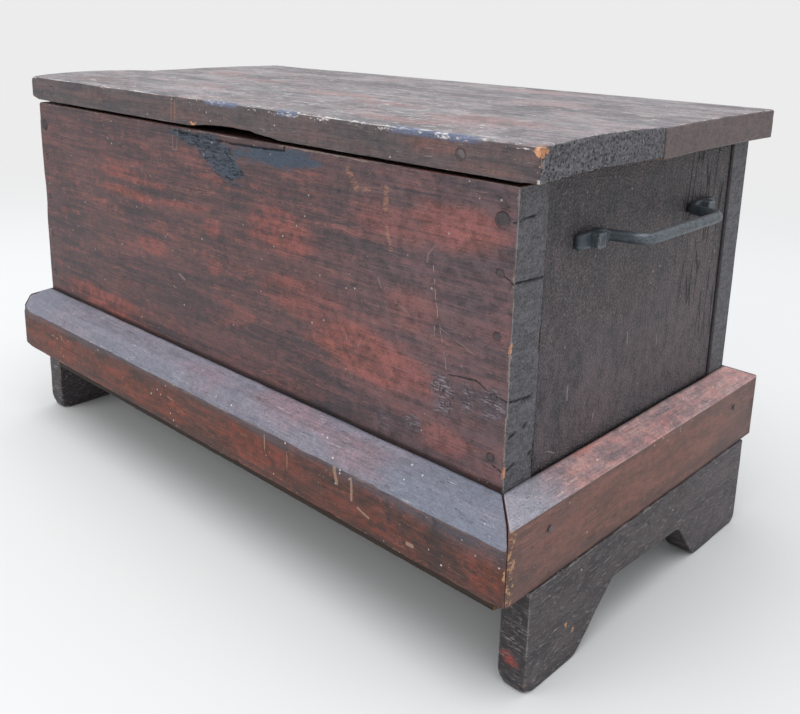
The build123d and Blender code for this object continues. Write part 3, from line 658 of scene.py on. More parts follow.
def plinth_marks(g, height, rough, tones):
    """Drips, scrapes and dents on the front plinth board's face."""
    face = (1, PLINTH_FRONT)
    drips = [(98, 128, 99, 113, 0.9), (128, 124, 128.5, 108, 0.7), (186, 131, 189, 118, 2.2),
             (205, 128, 206, 110, 1.8), (213, 106, 225, 103, 1.6), (-262, 121, -261, 116, 1.3),
             (-50, 116, -40, 114, 0.9), (266, 99, 271, 99, 2.2)]
    g.lay_each(g.strokes(face, drips, 0.003), 0.65, tones["pale"])
    dents = [(244, 124, 247, 108, 4), (292, 130, 296, 92, 4.5), (236, 101, 252, 98, 3),
             (305, 108, 330, 104, 2.5)]
    ragged = g.patches(0.0035, 0.4, 0.55, 4, 0.7, shift=85)
    dented = [stroke * ragged for stroke in g.strokes(face, dents, 0.008)]
    g.lay_each(dented, 0.6, tone(52, 50, 54))
    return height, rough


def runner_marks(g, height, rough, tones):
    """Dense short saw and scuff lines on the runners, slanting down to the rear."""
    scuff = g.patches((0.009, 0.009, 0.0015), 0.53, 0.6, 4, 0.75, turn=(38, 0, 0), shift=89)
    scuff = scuff * g.patches(0.02, 0.32, 0.5, 3, 0.6, shift=97)
    pit = g.patches((0.003, 0.003, 0.0012), 0.6, 0.7, 3, 0.7, turn=(38, 0, 0), shift=99)
    g.lay(scuff * (g.mark("front_end") * 0.3 + 0.65), tones["pale"])
    g.lay(pit * 0.85, tone(20, 18, 20))
    return height + scuff * 0.5 - pit * 0.6, rough


def end_grain(name, colours, seed, pitted=0.5, contrast=1.0, coarse=1.0):
    """The painted end of a plank: short fibres cut across, open pores and caught dirt, and painted shade
    where a joint gapes.
    """
    g = Graph(name, seed)
    pore = g.step(g.cells(0.0019 * coarse), 0.15, 0.5)
    rings = g.noise((0.4, 0.02, 0.0045), 3, 0.6, 1.2, shift=5)
    patch = g.noise(0.0045, 5, 0.72, shift=9)
    grit = g.noise(0.0013 * coarse, 3, 0.8, shift=17)
    g.colour = g.mix(g.step(rings * 0.4 + patch * 0.6, 0.38, 0.62), colours["dark"], colours["base"])
    g.lay(g.mark("warm") * g.step(patch, 0.35, 0.6), colours["warm"])
    g.dim(pore * (0.45 * contrast) + grit * (1.1 * contrast) + (1.0 - 0.8 * contrast))
    crest = g.patches(0.0020 * coarse, 0.56, 0.64, 3, 0.75, shift=13)
    g.lay(crest * (0.32 * contrast), colours["pale"])
    rim = g.mark("arris") - g.noise(0.006, 4, 0.7, shift=47) * 4.2
    worn = g.step(rim, -0.7, -1.6) * g.patches(0.02, 0.42, 0.56, 3, 0.6, shift=53)
    g.lay(worn * 0.6, colours["pale"])
    raw = g.mark("raw")
    chip = g.step(g.noise(0.004, 4, 0.7, shift=41) - raw * 0.36, 0.32, 0.25) * g.step(raw, 0.02, 0.2)
    g.lay(chip, g.shade(colours["raw"], grit * 0.7 + 0.65))
    crack = g.mark("crack")
    g.lay(crack, tone(16, 15, 17))
    # Darker as painted shade where the mark says, as on the back board's ends inside its joints
    g.dim(1.0 - g.mark("dirt_and_shade") * 0.85)
    height = pore * 0.5 * pitted + patch * pitted + grit * (pitted * 0.6) + rings * 0.2 - crack
    return g.finish(patch * 0.2 + 0.55, height, 0.0011, specular=0.22)


def bare_wood(name, grain, light, dark, seed, stain=0.35):
    """Unpainted old softwood with growth rings, stains and rubbed dust."""
    g = Graph(name, seed)
    rings = g.noise(grained(grain, 0.35, 0.011), 3, 0.55, 1.4)
    line = g.step(g.math("FRACT", rings * 6.0), 0.1, 0.85)
    fibre = g.noise(grained(grain, 0.035, 0.0009), 3, 0.6, shift=7)
    blotch = g.noise(grained(grain, 0.12, 0.05), 4, 0.6, 0.5, shift=9)
    g.colour = g.mix(line * 0.45 + fibre * 0.25, light, dark)
    g.lay(g.step(blotch, 0.48, 0.72) * stain, tone(70, 52, 40))
    knot = g.cells(grained(grain, 0.24, 0.075), shift=15)
    eye = g.step(knot, 0.15, 0.05)
    g.lay(eye * 0.8, tone(74, 44, 28))
    g.dim(fibre * 0.4 + 0.78)
    # Darker as painted shade where the mark says, as on the back board's inner face inside its joints
    g.dim(1.0 - g.mark("dirt_and_shade") * 0.6)
    height = line * 0.3 + fibre * 0.6
    return g.finish(blotch * 0.15 + 0.68, height, 0.0006, specular=0.3)


def old_iron(name, base, worn, rust, seed, gloss=0.42, metallic=0.55, polish=0.6):
    """Forged iron under old paint and oil, rubbed bright where hands and edges meet it, and brighter as a
    painted highlight along the top of the handles.
    """
    g = Graph(name, seed)
    hammer = g.noise(0.009, 3, 0.5)
    grit = g.noise(0.0015, 4, 0.65, shift=3)
    g.colour = g.mix(g.step(grit * 0.5 + hammer * 0.5, 0.4, 0.62), base, worn)
    g.lay(g.patches(0.012, 0.55, 0.7, 5, 0.65, shift=5) * 0.55, rust)
    # Pale where the mark says: real wear, and on the handles' upper side a painted highlight
    g.lay(g.mark("rubbed") * g.step(grit, 0.35, 0.6) * polish, tone(148, 152, 158))
    rough = grit * 0.25 + (gloss - 0.1)
    return g.finish(rough, hammer * 0.6 + grit * 0.4, 0.0006, metallic=metallic, specular=0.5)


BODY_TONES = chest_tones((102, 75, 75), (68, 60, 64), (164, 90, 80), (134, 75, 63),
                         blue=(66, 76, 90))
paint_front = old_paint("paint_front", 0, BODY_TONES, 1, warmth=0.45, extra=front_marks)
paint_back = old_paint("paint_back", 0, BODY_TONES, 2, warmth=0.5)
END_TONES = chest_tones((103, 95, 97), (80, 78, 81), (114, 96, 96), (104, 88, 88),
                        pale=(136, 130, 132), raw=(120, 92, 80), vein=(114, 104, 106))
paint_end = old_paint("paint_end", 2, END_TONES, 3, scratches=0.35, wear=0.3, patch=(0.06, 0.04),
                      wisp=(0.02, 0.009), hair=(0.009, 0.0013), thread=(0.005, 0.0016), grit=1.15,
                      pimples=1.5, extra=end_marks)
FACE_TONES = chest_tones((88, 60, 54), (60, 47, 45), (140, 68, 54), (112, 60, 42),
                         pale=(172, 140, 122), raw=(176, 136, 104), vein=(160, 104, 88),
                         blue=(86, 84, 92))
paint_plinth_x = old_paint("paint_plinth_x", 0, FACE_TONES, 4, warmth=0.8, scratches=0.5, specks=1.0,
                           wear=0.3, patch=(0.06, 0.02), wisp=(0.07, 0.006), extra=plinth_marks)
SIDE_TONES = chest_tones((120, 88, 82), (92, 74, 71), (140, 92, 80), (122, 80, 66),
                         pale=(172, 140, 122), raw=(176, 136, 104), vein=(168, 120, 106))
paint_plinth_y = old_paint("paint_plinth_y", 1, SIDE_TONES, 5, warmth=0.6, scratches=0.4, wear=0.5,
                           patch=(0.07, 0.02))
# The plinth tops' paint, paler and bluer than the faces because a painted sky reflection is mixed into it
SLOPE_PAINT_AND_SHEEN_TONES = chest_tones((142, 137, 149), (118, 117, 129), (156, 126, 136), (146, 118, 122),
                          pale=(196, 192, 198), blue=(124, 128, 142), speck=(222, 218, 214),
                          vein=(168, 158, 168))
slope_x_paint_and_sheen = old_paint("slope_x_paint_and_sheen", 0, SLOPE_PAINT_AND_SHEEN_TONES, 6, warmth=0.4, specks=1.0, scratches=0.7, wear=0.0, grit=0.6,
                    patch=(0.14, 0.014), wisp=(0.11, 0.008), hair=(0.02, 0.0012))
slope_left_paint_and_sheen = old_paint("slope_left_paint_and_sheen", 1, SLOPE_PAINT_AND_SHEEN_TONES, 21, warmth=0.2, specks=1.0, wear=0.0,
                       patch=(0.08, 0.014))
# The right plinth top's paint, lightened with a painted sky reflection
ROSE_PAINT_AND_SHEEN_TONES = chest_tones((208, 170, 167), (140, 126, 132), (222, 128, 116), (198, 118, 102),
                         pale=(226, 206, 200), blue=(156, 158, 170), speck=(236, 230, 226),
                         vein=(218, 182, 174))
slope_y_paint_and_sheen = old_paint("slope_y_paint_and_sheen", 1, ROSE_PAINT_AND_SHEEN_TONES, 7, warmth=0.9, specks=1.0, scratches=1.0, wear=0.2, grit=0.9,
                    patch=(0.05, 0.016))
RUNNER_TONES = chest_tones((92, 86, 88), (62, 58, 61), (112, 80, 76), (98, 74, 70),
                           pale=(156, 150, 150), vein=(104, 96, 96), raw=(204, 150, 108),
                           blue=(184, 90, 82))
paint_runner = old_paint("paint_runner", 1, RUNNER_TONES, 8, warmth=0.2, specks=0.8, grit=0.8, wear=0.7,
                         patch=(0.05, 0.02), extra=runner_marks)
# The lid top's grey paint, lightened with a painted sky sheen
LID_PAINT_AND_SHEEN_TONES = chest_tones((160, 154, 157), (106, 104, 108), (172, 124, 122), (156, 118, 115),
                        pale=(224, 221, 219), blue=(98, 108, 138), raw=(206, 154, 120),
                        speck=(232, 228, 224), vein=(186, 172, 174))
paint_lid_and_sheen = old_paint("paint_lid_and_sheen", 0, LID_PAINT_AND_SHEEN_TONES, 9, warmth=0.65, scratches=1.25, specks=1.0, grit=0.9,
                      patch=(0.09, 0.04), wisp=(0.07, 0.007), hair=(0.022, 0.0019))
EDGE_TONES = chest_tones((96, 84, 84), (72, 68, 72), (128, 90, 86), (114, 80, 72),
                         blue=(98, 106, 130), pale=(206, 198, 194), raw=(206, 148, 112),
                         vein=(126, 108, 106))
paint_lid_edge = old_paint("paint_lid_edge", 0, EDGE_TONES, 10, warmth=0.5, wear=0.15, patch=(0.07, 0.016),
                           extra=edge_marks)
GRAIN_TONES = chest_tones((100, 98, 102), (74, 73, 76), (120, 96, 92), (108, 86, 80),
                          pale=(156, 153, 155), raw=(206, 148, 108))
grain_front = end_grain("grain_front", GRAIN_TONES, 11)
grain_lid = end_grain("grain_lid", GRAIN_TONES, 12, pitted=1.6, contrast=2.1, coarse=1.4)
LID_END_TONES = chest_tones((108, 98, 98), (92, 85, 87), (122, 100, 96), (110, 90, 84),
                            pale=(150, 142, 140))
grain_rear = end_grain("grain_rear", LID_END_TONES, 23, contrast=0.6)
wood_x = bare_wood("wood_x", 0, tone(150, 118, 84), tone(112, 82, 56), 13)
wood_y = bare_wood("wood_y", 1, tone(146, 116, 84), tone(108, 80, 56), 14)
wood_z = bare_wood("wood_z", 2, tone(150, 118, 84), tone(112, 82, 56), 15)
# Bare wood darkened as painted shade, with a heavier stain, for undersides and sides under the plinth
wood_under_shaded = bare_wood("wood_under_shaded", 0, tone(60, 51, 45), tone(42, 36, 33), 16, stain=0.6)
iron_handle = old_iron("iron_handle", tone(62, 70, 77), tone(84, 92, 98), tone(78, 70, 66), 17)
iron_nail = old_iron("iron_nail", tone(60, 54, 58), tone(78, 70, 72), tone(78, 60, 56), 18, 0.55, 0.1, 0.2)
nail_painted = old_iron("nail_painted", tone(86, 76, 78), tone(108, 98, 100), tone(96, 72, 66), 22,
                        0.6, 0.0, 0.2)
iron_hinge = old_iron("iron_hinge", tone(58, 50, 46), tone(92, 84, 78), tone(108, 66, 42), 19, 0.5, 0.6)
PEG_TONES = chest_tones((62, 56, 59), (50, 46, 49), (74, 58, 55), (64, 52, 49), pale=(84, 77, 79))
peg_end = end_grain("peg_end", PEG_TONES, 20)


# Planks of the box
def front_board():
    """The front board: worn rim, splits and scaly patch, and where its paint has which marks."""
    split_zones = [(at - 1.5 * MM, at + 1.5 * MM, 0.75 * MM) for at, *_ in END_SPLITS[:4]]
    z_lines = grid_lines(WALL_FOOT, WALL_TOP, 3 * MM, [(0.337, 0.3685, 1.3 * MM), *split_zones])
    x_lines = grid_lines(BOX_LEFT, BOX_RIGHT, 3 * MM, [(-0.05, 0.045, 1.6 * MM)])
    skin = Skin(x_lines, grid_lines(FRONT_FACE, FRONT_INNER, 4 * MM), z_lines)
    face = skin.on(1, False)
    rest = skin.p.copy()
    x, y, z = rest.T
    worn_rim = (z > WALL_TOP - 20 * MM) & (y < FRONT_FACE + 12 * MM)
    rim = np.where(x < SPLINTER_END, 2.6, 1.3) + 0.7 * layered(rest, 0.03, 101)
    side = 1.5 + 0.9 * layered(rest, (0.02, 0.02, 0.03), 102)
    side += 2.6 * ease(0.03, 0.006, np.abs(z - 0.27)) * (x < 0)
    side += 2.2 * ease(0.014, 0.003, np.abs(z - 0.262)) * (x > 0)
    side += 2.0 * ease(0.02, 0.003, np.abs(z - 0.172)) * (x > 0)
    skin.round_off(np.where(worn_rim, rim, side) * MM)
    front_board_paint(skin, rest, face, worn_rim)
    skin.arris[y > FRONT_INNER - 12 * MM] = FAR_FROM_ARRIS
    dent = skin.marks["scaly"] * np.abs(layered(rest, (0.013, 0.01, 0.0035), 107, 2)) * 1.1
    hollow = 0.35 * layered(rest, (0.12, 0.1, 0.05), 108)
    skin.p[:, 1] += (dent + np.maximum(hollow, 0) + 0.25 * skin.marks["bruise"]) * MM * face
    along_sliver = (x > SLIVER_START) & (x < SLIVER_STOP)
    groove = ease(0.9 * MM, 0.2 * MM, np.abs(z - SLIVER_HEIGHT)) * along_sliver * face
    skin.p[:, 1] += groove * 0.9 * MM
    end = skin.on(0, True) | skin.on(0, False)
    crack = end_splits(rest)
    skin.mark("crack", crack * end)
    skin.p[:, 0] -= np.sign(x) * crack * end * 0.5 * MM
    others = {RIGHT_SIDE: grain_front, LEFT_SIDE: grain_front, BACK_SIDE: wood_x, TOP_SIDE: paint_back,
              UNDERSIDE: wood_under_shaded}
    board("front_board", skin, "chest", paint_front, others)


def front_board_paint(skin, rest, face, worn_rim):
    """Where the front board's paint is blue, scaly, warm, dark, bruised, chipped, pale or faded, and where it
    carries painted shade.
    """
    x, y, z = rest.T
    blue = spots(rest, (0, 2), [(6, 352, 36, 15.5, -24, 1.0), (-20, 364.5, 50, 6, -4, 1.0)],
                 103, 0.35, (0.016, 0.004), (1.15, 0.75)) * face
    skin.mark("scaly", blue)
    band = spots(rest, (0, 2), [(88, 362.5, 62, 8.5, 3, 1.0), (20, 348, 20, 12, -30, 1.0)],
                 111, 0.6, (0.016, 0.0035), (1.08, 0.7))
    skin.mark("blue", np.maximum(blue * 0.9, band) * face)
    warm = spots(rest, (0, 2), [
        (-150, 298, 60, 6, -1, 0.8), (-50, 301, 50, 4, 3, 0.7),
        (-140, 316, 70, 8, -2, 0.6), (-185, 329, 24, 4, -6, 0.6),
        (-6, 287, 13, 13, 40, 0.7), (90, 303, 50, 22, -3, 0.7),
        (-210, 170, 90, 14, -3, 0.9), (-110, 250, 30, 10, 0, 0.6),
        (-4, 250, 14, 8, 0, 0.6), (280, 338, 50, 19, -3, 1.0),
        (215, 330, 50, 16, -4, 0.6), (195, 222, 75, 24, -5, 1.0),
        (275, 177, 30, 12, 0, 0.7), (120, 250, 60, 20, 0, 0.5),
        (235, 270, 30, 20, 0, 0.5)], 104) * face
    skin.mark("warm", warm)
    shade = spots(rest, (0, 2), [
        (-163, 353, 55, 14, -8, 1.0), (297, 296, 48, 18, 0, 1.0),
        (-290, 260, 40, 90, 0, 0.7), (-50, 205, 110, 18, -3, 0.8),
        (20, 330, 40, 14, -10, 0.8), (180, 310, 50, 12, 0, 0.6),
        (-120, 280, 80, 8, 0, 0.6), (50, 200, 50, 12, 0, 0.5),
        (300, 200, 30, 30, 0, 0.5)], 105) * face
    skin.mark("shade", shade)
    skin.mark("bruise", spots(rest, (0, 2), [
        (271, 213, 12, 17, 0, 1.0), (295.5, 217, 6, 12, 0, 0.9),
        (317, 219, 11, 13, 0, 0.9), (243, 181, 8, 7, 0, 1.0),
        (212, 174, 12, 9, -30, 0.4)], 106, grain=(0.005, 0.002)) * face)
    outer = y < FRONT_FACE + 4 * MM
    right_rim = x > BOX_RIGHT - 8 * MM
    left_rub = ease(0.026, 0.012, np.abs(z - 0.268)) * (x < BOX_LEFT + 12 * MM) * (skin.arris < 2 * MM) * 0.7
    chips = bands(z, ((0.262, 0.007), (0.170, 0.007)), 2 / 7) * right_rim * (skin.arris < 1.7 * MM)
    skin.mark("raw", outer * (left_rub + chips))
    skin.mark("pale", 0.3 * (worn_rim & (x < SPLINTER_END) & (skin.arris < 1.7 * MM)))
    along_edge = outer * right_rim * (skin.arris < 1.4 * MM) * ease(0.37, 0.34, z)
    skin.mark("pale", along_edge * np.clip(0.4 + 1.4 * layered(rest, (0.02, 0.02, 0.016), 113), 0, 0.8))
    skin.mark("faded", face * 0.5 * ease(0.08, 0.28, x))
    # Painted shade: a dark line where the face meets the plinth's top
    skin.mark("dirt_and_shade", face * ease(3.5 * MM, 1 * MM, np.abs(z - PLINTH_TOP)) * 0.9)
    # Painted shade on the board's top under the lid, all but its front rim
    skin.mark("dirt_and_shade", skin.on(2, True) * ease(FRONT_FACE + 1.5 * MM, FRONT_FACE + 5 * MM, y) * 0.8)


def end_splits(rest):
    """How deep the front board's ends are split, and its joint with the end board open, at each point."""
    y, z = rest[:, 1], rest[:, 2]
    across = (y - FRONT_FACE) / (FRONT_INNER - FRONT_FACE)
    crack = ease(1.8 * MM, 0.6 * MM, FRONT_INNER - y) * below_joint_top(z) * 0.9
    for at, start, stop, slope in END_SPLITS:
        line = at + slope * across + 1 * MM * layered(rest, 0.01, 109)
        split = ease(1.1 * MM, 0.2 * MM, np.abs(z - line)) * (across >= start) * (across <= stop)
        crack = np.maximum(crack, split)
    return crack


def below_joint_top(z):
    """1 below the place where the joint with the end board begins to gape, 0 above it."""
    return ease(OPEN_JOINT_TOP + 1 * MM, OPEN_JOINT_TOP - 1 * MM, z)


def plain_board(node, seed, step):
    """The skin of a squared plank with soft arrises and slightly uneven sides, and its points before that."""
    low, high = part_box(node)
    widths = [high[axis] - low[axis] for axis in range(3)]
    steps = [5 * MM if width < 1.5 * min(widths) else step for width in widths]
    skin = Skin(*[grid_lines(low[axis], high[axis], steps[axis]) for axis in range(3)])
    rest = skin.p.copy()
    skin.round_off((1.3 + 0.6 * layered(rest, 0.03, seed)) * MM)
    sway = np.maximum(layered(rest, (0.09, 0.07, 0.11), seed + 7), 0) * 0.35 * MM
    for axis in range(3):
        for at_high, inward in ((False, 1), (True, -1)):
            skin.p[:, axis] += inward * sway * skin_side(rest, low, high, axis, at_high)
    return skin, rest


def skin_side(rest, low, high, axis, at_high):
    """1 for the points on one side of a box, else 0."""
    edge = high[axis] if at_high else low[axis]
    return (np.abs(rest[:, axis] - edge) < ON_PLANE).astype(float)


def back_board():
    """The back board, notched for the hinge leaves."""
    skin, rest = plain_board("back_board", 120, 5 * MM)
    x, y, z = rest.T
    skin.arris[y < BACK_INNER + 12 * MM] = FAR_FROM_ARRIS
    # Painted shade on the inner face and ends near the joints with the end boards, where they show through
    # the gap
    skin.mark("dirt_and_shade", 0.85 * ((np.abs(x) > BOX_RIGHT - 5 * MM) & (y < BACK_INNER + 5 * MM)))
    near = (np.abs(np.abs(x) - HINGE_X) < NOTCH_HALF) & (z > WALL_TOP - 3 * MM) & (y > BACK_FACE - 3.5 * MM)
    skin.p[near, 2] = np.minimum(skin.p[near, 2], WALL_TOP - NOTCH_DEPTH)
    skin.p[near, 1] = np.minimum(skin.p[near, 1], BACK_FACE - 0.2 * MM)
    others = {RIGHT_SIDE: grain_front, LEFT_SIDE: grain_front, FRONT_SIDE: wood_x, UNDERSIDE: wood_under_shaded}
    board("back_board", skin, "chest", paint_back, others)


def end_board(side, sign):
    """An end board with upright grain, checked at its upper rear, with painted shade along its foot and in
    its gaping joints.
    """
    node = f"{side}_end_board"
    skin, rest = plain_board(node, 130 + sign, 4 * MM)
    y, z = rest[:, 1], rest[:, 2]
    outer = skin_side(rest, skin.low, skin.high, 0, sign > 0)
    skin.arris[z < WALL_TOP - 3 * MM] = FAR_FROM_ARRIS
    skin.mark("checked", outer * np.clip(0.1 + ease(0.03, 0.10, y) * ease(0.17, 0.24, z), 0, 1))
    # Painted shade: a dark line just above the plinth, and beside the front and rear edges where the joints
    # gape
    low_down = ease(PLINTH_TOP + 4 * MM, PLINTH_TOP + 1 * MM, z)
    beside = ease(2.5 * MM, 0.5 * MM, np.minimum(y - skin.low[1], skin.high[1] - y))
    skin.mark("dirt_and_shade", outer * np.maximum(low_down * 0.85, beside * 0.5 * below_joint_top(z)))
    skin.mark("warm", outer * spots(rest, (1, 2), [
        (90, 210, 45, 50, 10, 0.7), (20, 210, 50, 35, 0, 0.6), (-60, 190, 50, 30, 0, 0.6),
        (100, 290, 30, 50, 0, 0.5), (-20, 270, 50, 30, 0, 0.4)], 133, grain=(0.012, 0.02)))
    skin.mark("shade", outer * ease(WALL_TOP - 60 * MM, WALL_TOP - 10 * MM, z) * 0.8)
    skin.mark("faded", outer * ease(0.29, 0.22, z) * 0.6)
    skin.mark("pale", outer * ease(9 * MM, 4 * MM, np.abs(z - PLINTH_TOP)) * 0.17)
    inner = LEFT_SIDE if sign > 0 else RIGHT_SIDE
    board(node, skin, "chest", paint_end, {inner: wood_z, UNDERSIDE: wood_under_shaded})


def floor_board(number):
    """A bare floor board, with painted shade on its underside and on the sides that show under the plinth."""
    node = f"floor_board_{number}"
    skin, _ = plain_board(node, 140 + number, 6 * MM)
    dark_sides = dict.fromkeys((UNDERSIDE, FRONT_SIDE, BACK_SIDE), wood_under_shaded)
    board(node, skin, "chest", wood_x, dark_sides)


# Plinth
def plinth_board(side):
    """A mitred plinth board whose top slopes away from the wall, in two slopes at the front and left."""
    along = 0 if side in ("front", "back") else 1
    out_axis = 1 - along
    sign = -1 if side in ("front", "left") else 1
    worn = sign < 0
    wall = {"front": FRONT_FACE, "back": BACK_FACE, "left": BOX_LEFT, "right": BOX_RIGHT}[side]
    seed = {"front": 150, "back": 160, "left": 170, "right": 180}[side]
    half_run = BOX_RIGHT if along == 0 else BACK_FACE
    height = PLINTH_TOP - WALL_FOOT
    reach = half_run + PLINTH_THICK - MITRE_GAP
    run_lines = grid_lines(-reach, reach, 2.8 * MM)
    out_lines = grid_lines(0, PLINTH_THICK, 2.6 * MM, [(18 * MM, 24 * MM, 0.9 * MM)] if worn else ())
    up_lines = grid_lines(0, height, 2.8 * MM)
    skin = Skin(*((run_lines, out_lines) if along == 0 else (out_lines, run_lines)), up_lines)
    rest = skin.p.copy()
    run, out, up = rest[:, along], rest[:, out_axis], rest[:, 2]
    outer = out > PLINTH_THICK - ON_PLANE
    top = up > height - ON_PLANE

    radius = 2.4 + 1.3 * layered(rest, 0.03, seed)
    if along == 0:
        radius += 4.0 * ease(20 * MM, 4 * MM, reach + run) * (out > PLINTH_THICK / 2)
    skin.round_off(np.clip(radius, 1.0, 7.0) * MM)
    out_now = skin.p[:, out_axis].copy()
    drop = out_now / PLINTH_THICK * PLINTH_DROP
    if worn:
        drop = np.interp(out_now, [0, KNEE_OUT, PLINTH_THICK], [0, KNEE_DROP, PLINTH_THICK])
    skin.p[:, 2] = WALL_FOOT + skin.p[:, 2] * (height - drop) / height
    skin.p[:, along] = skin.p[:, along] / reach * (half_run - MITRE_GAP + out_now)
    sway = np.maximum(layered(rest, grained(along, 0.1, 0.02), seed + 3), 0)
    skin.p[:, out_axis] -= outer * sway * 0.5 * MM
    skin.p[:, 2] -= top * np.maximum(layered(rest, 0.03, seed + 5), 0) * 0.5 * MM
    nick = ease(0.35, 0.6, layered(rest, 0.012, seed + 8, 2)) * (skin.arris < 3 * MM)
    skin.p[:, out_axis] -= nick * outer * 0.8 * MM
    skin.p[:, out_axis] = wall + sign * skin.p[:, out_axis]
    corners = np.array([[PLINTH_LEFT, PLINTH_FRONT], [PLINTH_RIGHT, PLINTH_BACK]])
    skin.p[:, :2] = rounded(skin.p[:, :2], *corners, PLINTH_CORNER)

    # Painted shade where the board meets the wall and along its underside at the floor
    joint = ease(3.5 * MM, 0.5 * MM, out) * 0.9 * (up > 0.3 * height)
    skin.mark("dirt_and_shade", joint + ease(1.6 * MM, 0.4 * MM, up) * 0.55)
    if side == "front":
        plinth_front_paint(skin, rest, out_now, outer, top)
    if side == "right":
        plinth_right_paint(skin, rest, outer, top)
    slope = {"front": slope_x_paint_and_sheen, "back": slope_x_paint_and_sheen, "left": slope_left_paint_and_sheen, "right": slope_y_paint_and_sheen}[side]
    face = paint_plinth_x if along == 0 else paint_plinth_y
    if sign < 0:
        skin.faces = skin.faces[:, ::-1]
    board(f"plinth_{side}", skin, "chest", face, {TOP_SIDE: slope})


def plinth_front_paint(skin, rest, out_now, outer, top):
    """Where the front plinth board is chipped, rubbed, warm, dark or blue; the blue at the top of its face is
    a painted sky reflection.
    """
    run, up = rest[:, 0], rest[:, 2]
    mitre = skin.high[0] - np.abs(run)
    chip_height = 112 * MM
    chip = ease(7 * MM, 2 * MM, np.hypot(mitre, skin.p[:, 2] - chip_height)) * (run > 0) * outer
    skin.mark("raw", chip)
    ragged = 0.25 + 0.9 * layered(rest, (0.02, 0.01, 0.01), 161)
    skin.mark("pale", np.clip(ease(3.4 * MM, 1.8 * MM, up) * outer * ragged, 0, 1))
    chips = bands(run, ((-0.29, 0.004), (0.02, 0.006), (0.19, 0.012), (0.255, 0.008), (0.08, 0.004)))
    skin.mark("raw", chips * ease(4 * MM, 1.5 * MM, up) * outer * 0.8)
    skin.mark("warm", (outer | (up < ON_PLANE)) * spots(skin.p, (0, 2), [
        (-280, 110, 80, 20, 0, 0.8), (-100, 105, 100, 16, 0, 0.9), (80, 110, 80, 16, 0, 0.8),
        (220, 100, 60, 12, 0, 0.6), (340, 115, 20, 20, 0, 0.8)], 151))
    skin.mark("shade", outer * spots(skin.p, (0, 2), [
        (295, 110, 8, 35, -6, 1.0), (200, 115, 30, 10, 0, 0.6), (285, 108, 20, 6, 0, 1.0)], 152))
    skin.mark("blue", top * spots(skin.p, (0, 1), [
        (300, -190, 70, 30, 0, 0.8), (-330, -190, 60, 30, 0, 0.6), (-100, -197, 120, 10, 0, 0.4)], 153))
    # Painted sky reflection: blue at the top of the face, reaching further down towards the right
    sky_sheen_reach = (12 + 18 * ease(0.22, 0.33, run)) * MM
    ragged = 8 * MM * layered(rest, (0.05, 0.01, 0.02), 155)
    skin.mark("blue", outer * ease(sky_sheen_reach, 0, skin.high[2] - up + ragged) * 0.65)
    skin.mark("warm", top * spots(skin.p, (0, 1), [
        (120, -185, 60, 12, 0, 0.9), (200, -190, 40, 10, 0, 0.8), (0, -190, 40, 10, 0, 0.5)], 154))
    skin.mark("shade", top * ease(17 * MM, 22 * MM, out_now) * 0.35)


def plinth_right_paint(skin, rest, outer, top):
    """Where the right plinth board is bare at its mitre, battered at its far end, warm or blue."""
    run = rest[:, 1]
    mitre = skin.high[1] - np.abs(run)
    bare = ease(16 * MM, 7 * MM, mitre) * (run < 0) * outer * (1 - ease(0.100, 0.094, skin.p[:, 2]) * 0.3)
    skin.mark("raw", bare * np.clip(0.75 + 0.9 * layered(rest, (0.006, 0.006, 0.009), 189), 0, 1))
    battered = ease(24 * MM, 8 * MM, mitre) * (run > 0) * outer
    skin.mark("dirt_and_shade", battered * np.clip(0.3 + 1.4 * layered(rest, (0.01, 0.01, 0.007), 193), 0, 0.8))
    skin.mark("warm", spots(skin.p, (1, 2), [(0, 120, 160, 30, 0, 0.7)], 181))
    skin.mark("blue", top * ease(-0.10, -0.16, skin.p[:, 1]) * 0.9)


# Runners
def arch_height(y):
    """Height of a runner's underside above the floor, along y, with the arch's corners eased."""
    corners_y = [-104.5 * MM, -55.5 * MM, 57 * MM, 92 * MM]
    corners_z = [0, 46 * MM, 42 * MM, 0]
    offsets = np.linspace(-5 * MM, 5 * MM, 9)
    smooth = sum(np.interp(y + offset, corners_y, corners_z) for offset in offsets) / len(offsets)
    near = (y > -125 * MM) & (y < 110 * MM)
    return np.where(near, smooth, np.interp(y, corners_y, corners_z))


def corner_lift(past, radius):
    """How far a rounded corner is off the floor, at a distance past the start of its curve."""
    past = np.clip(past, 0, radius)
    return radius - np.sqrt(np.maximum(radius**2 - past**2, 0))


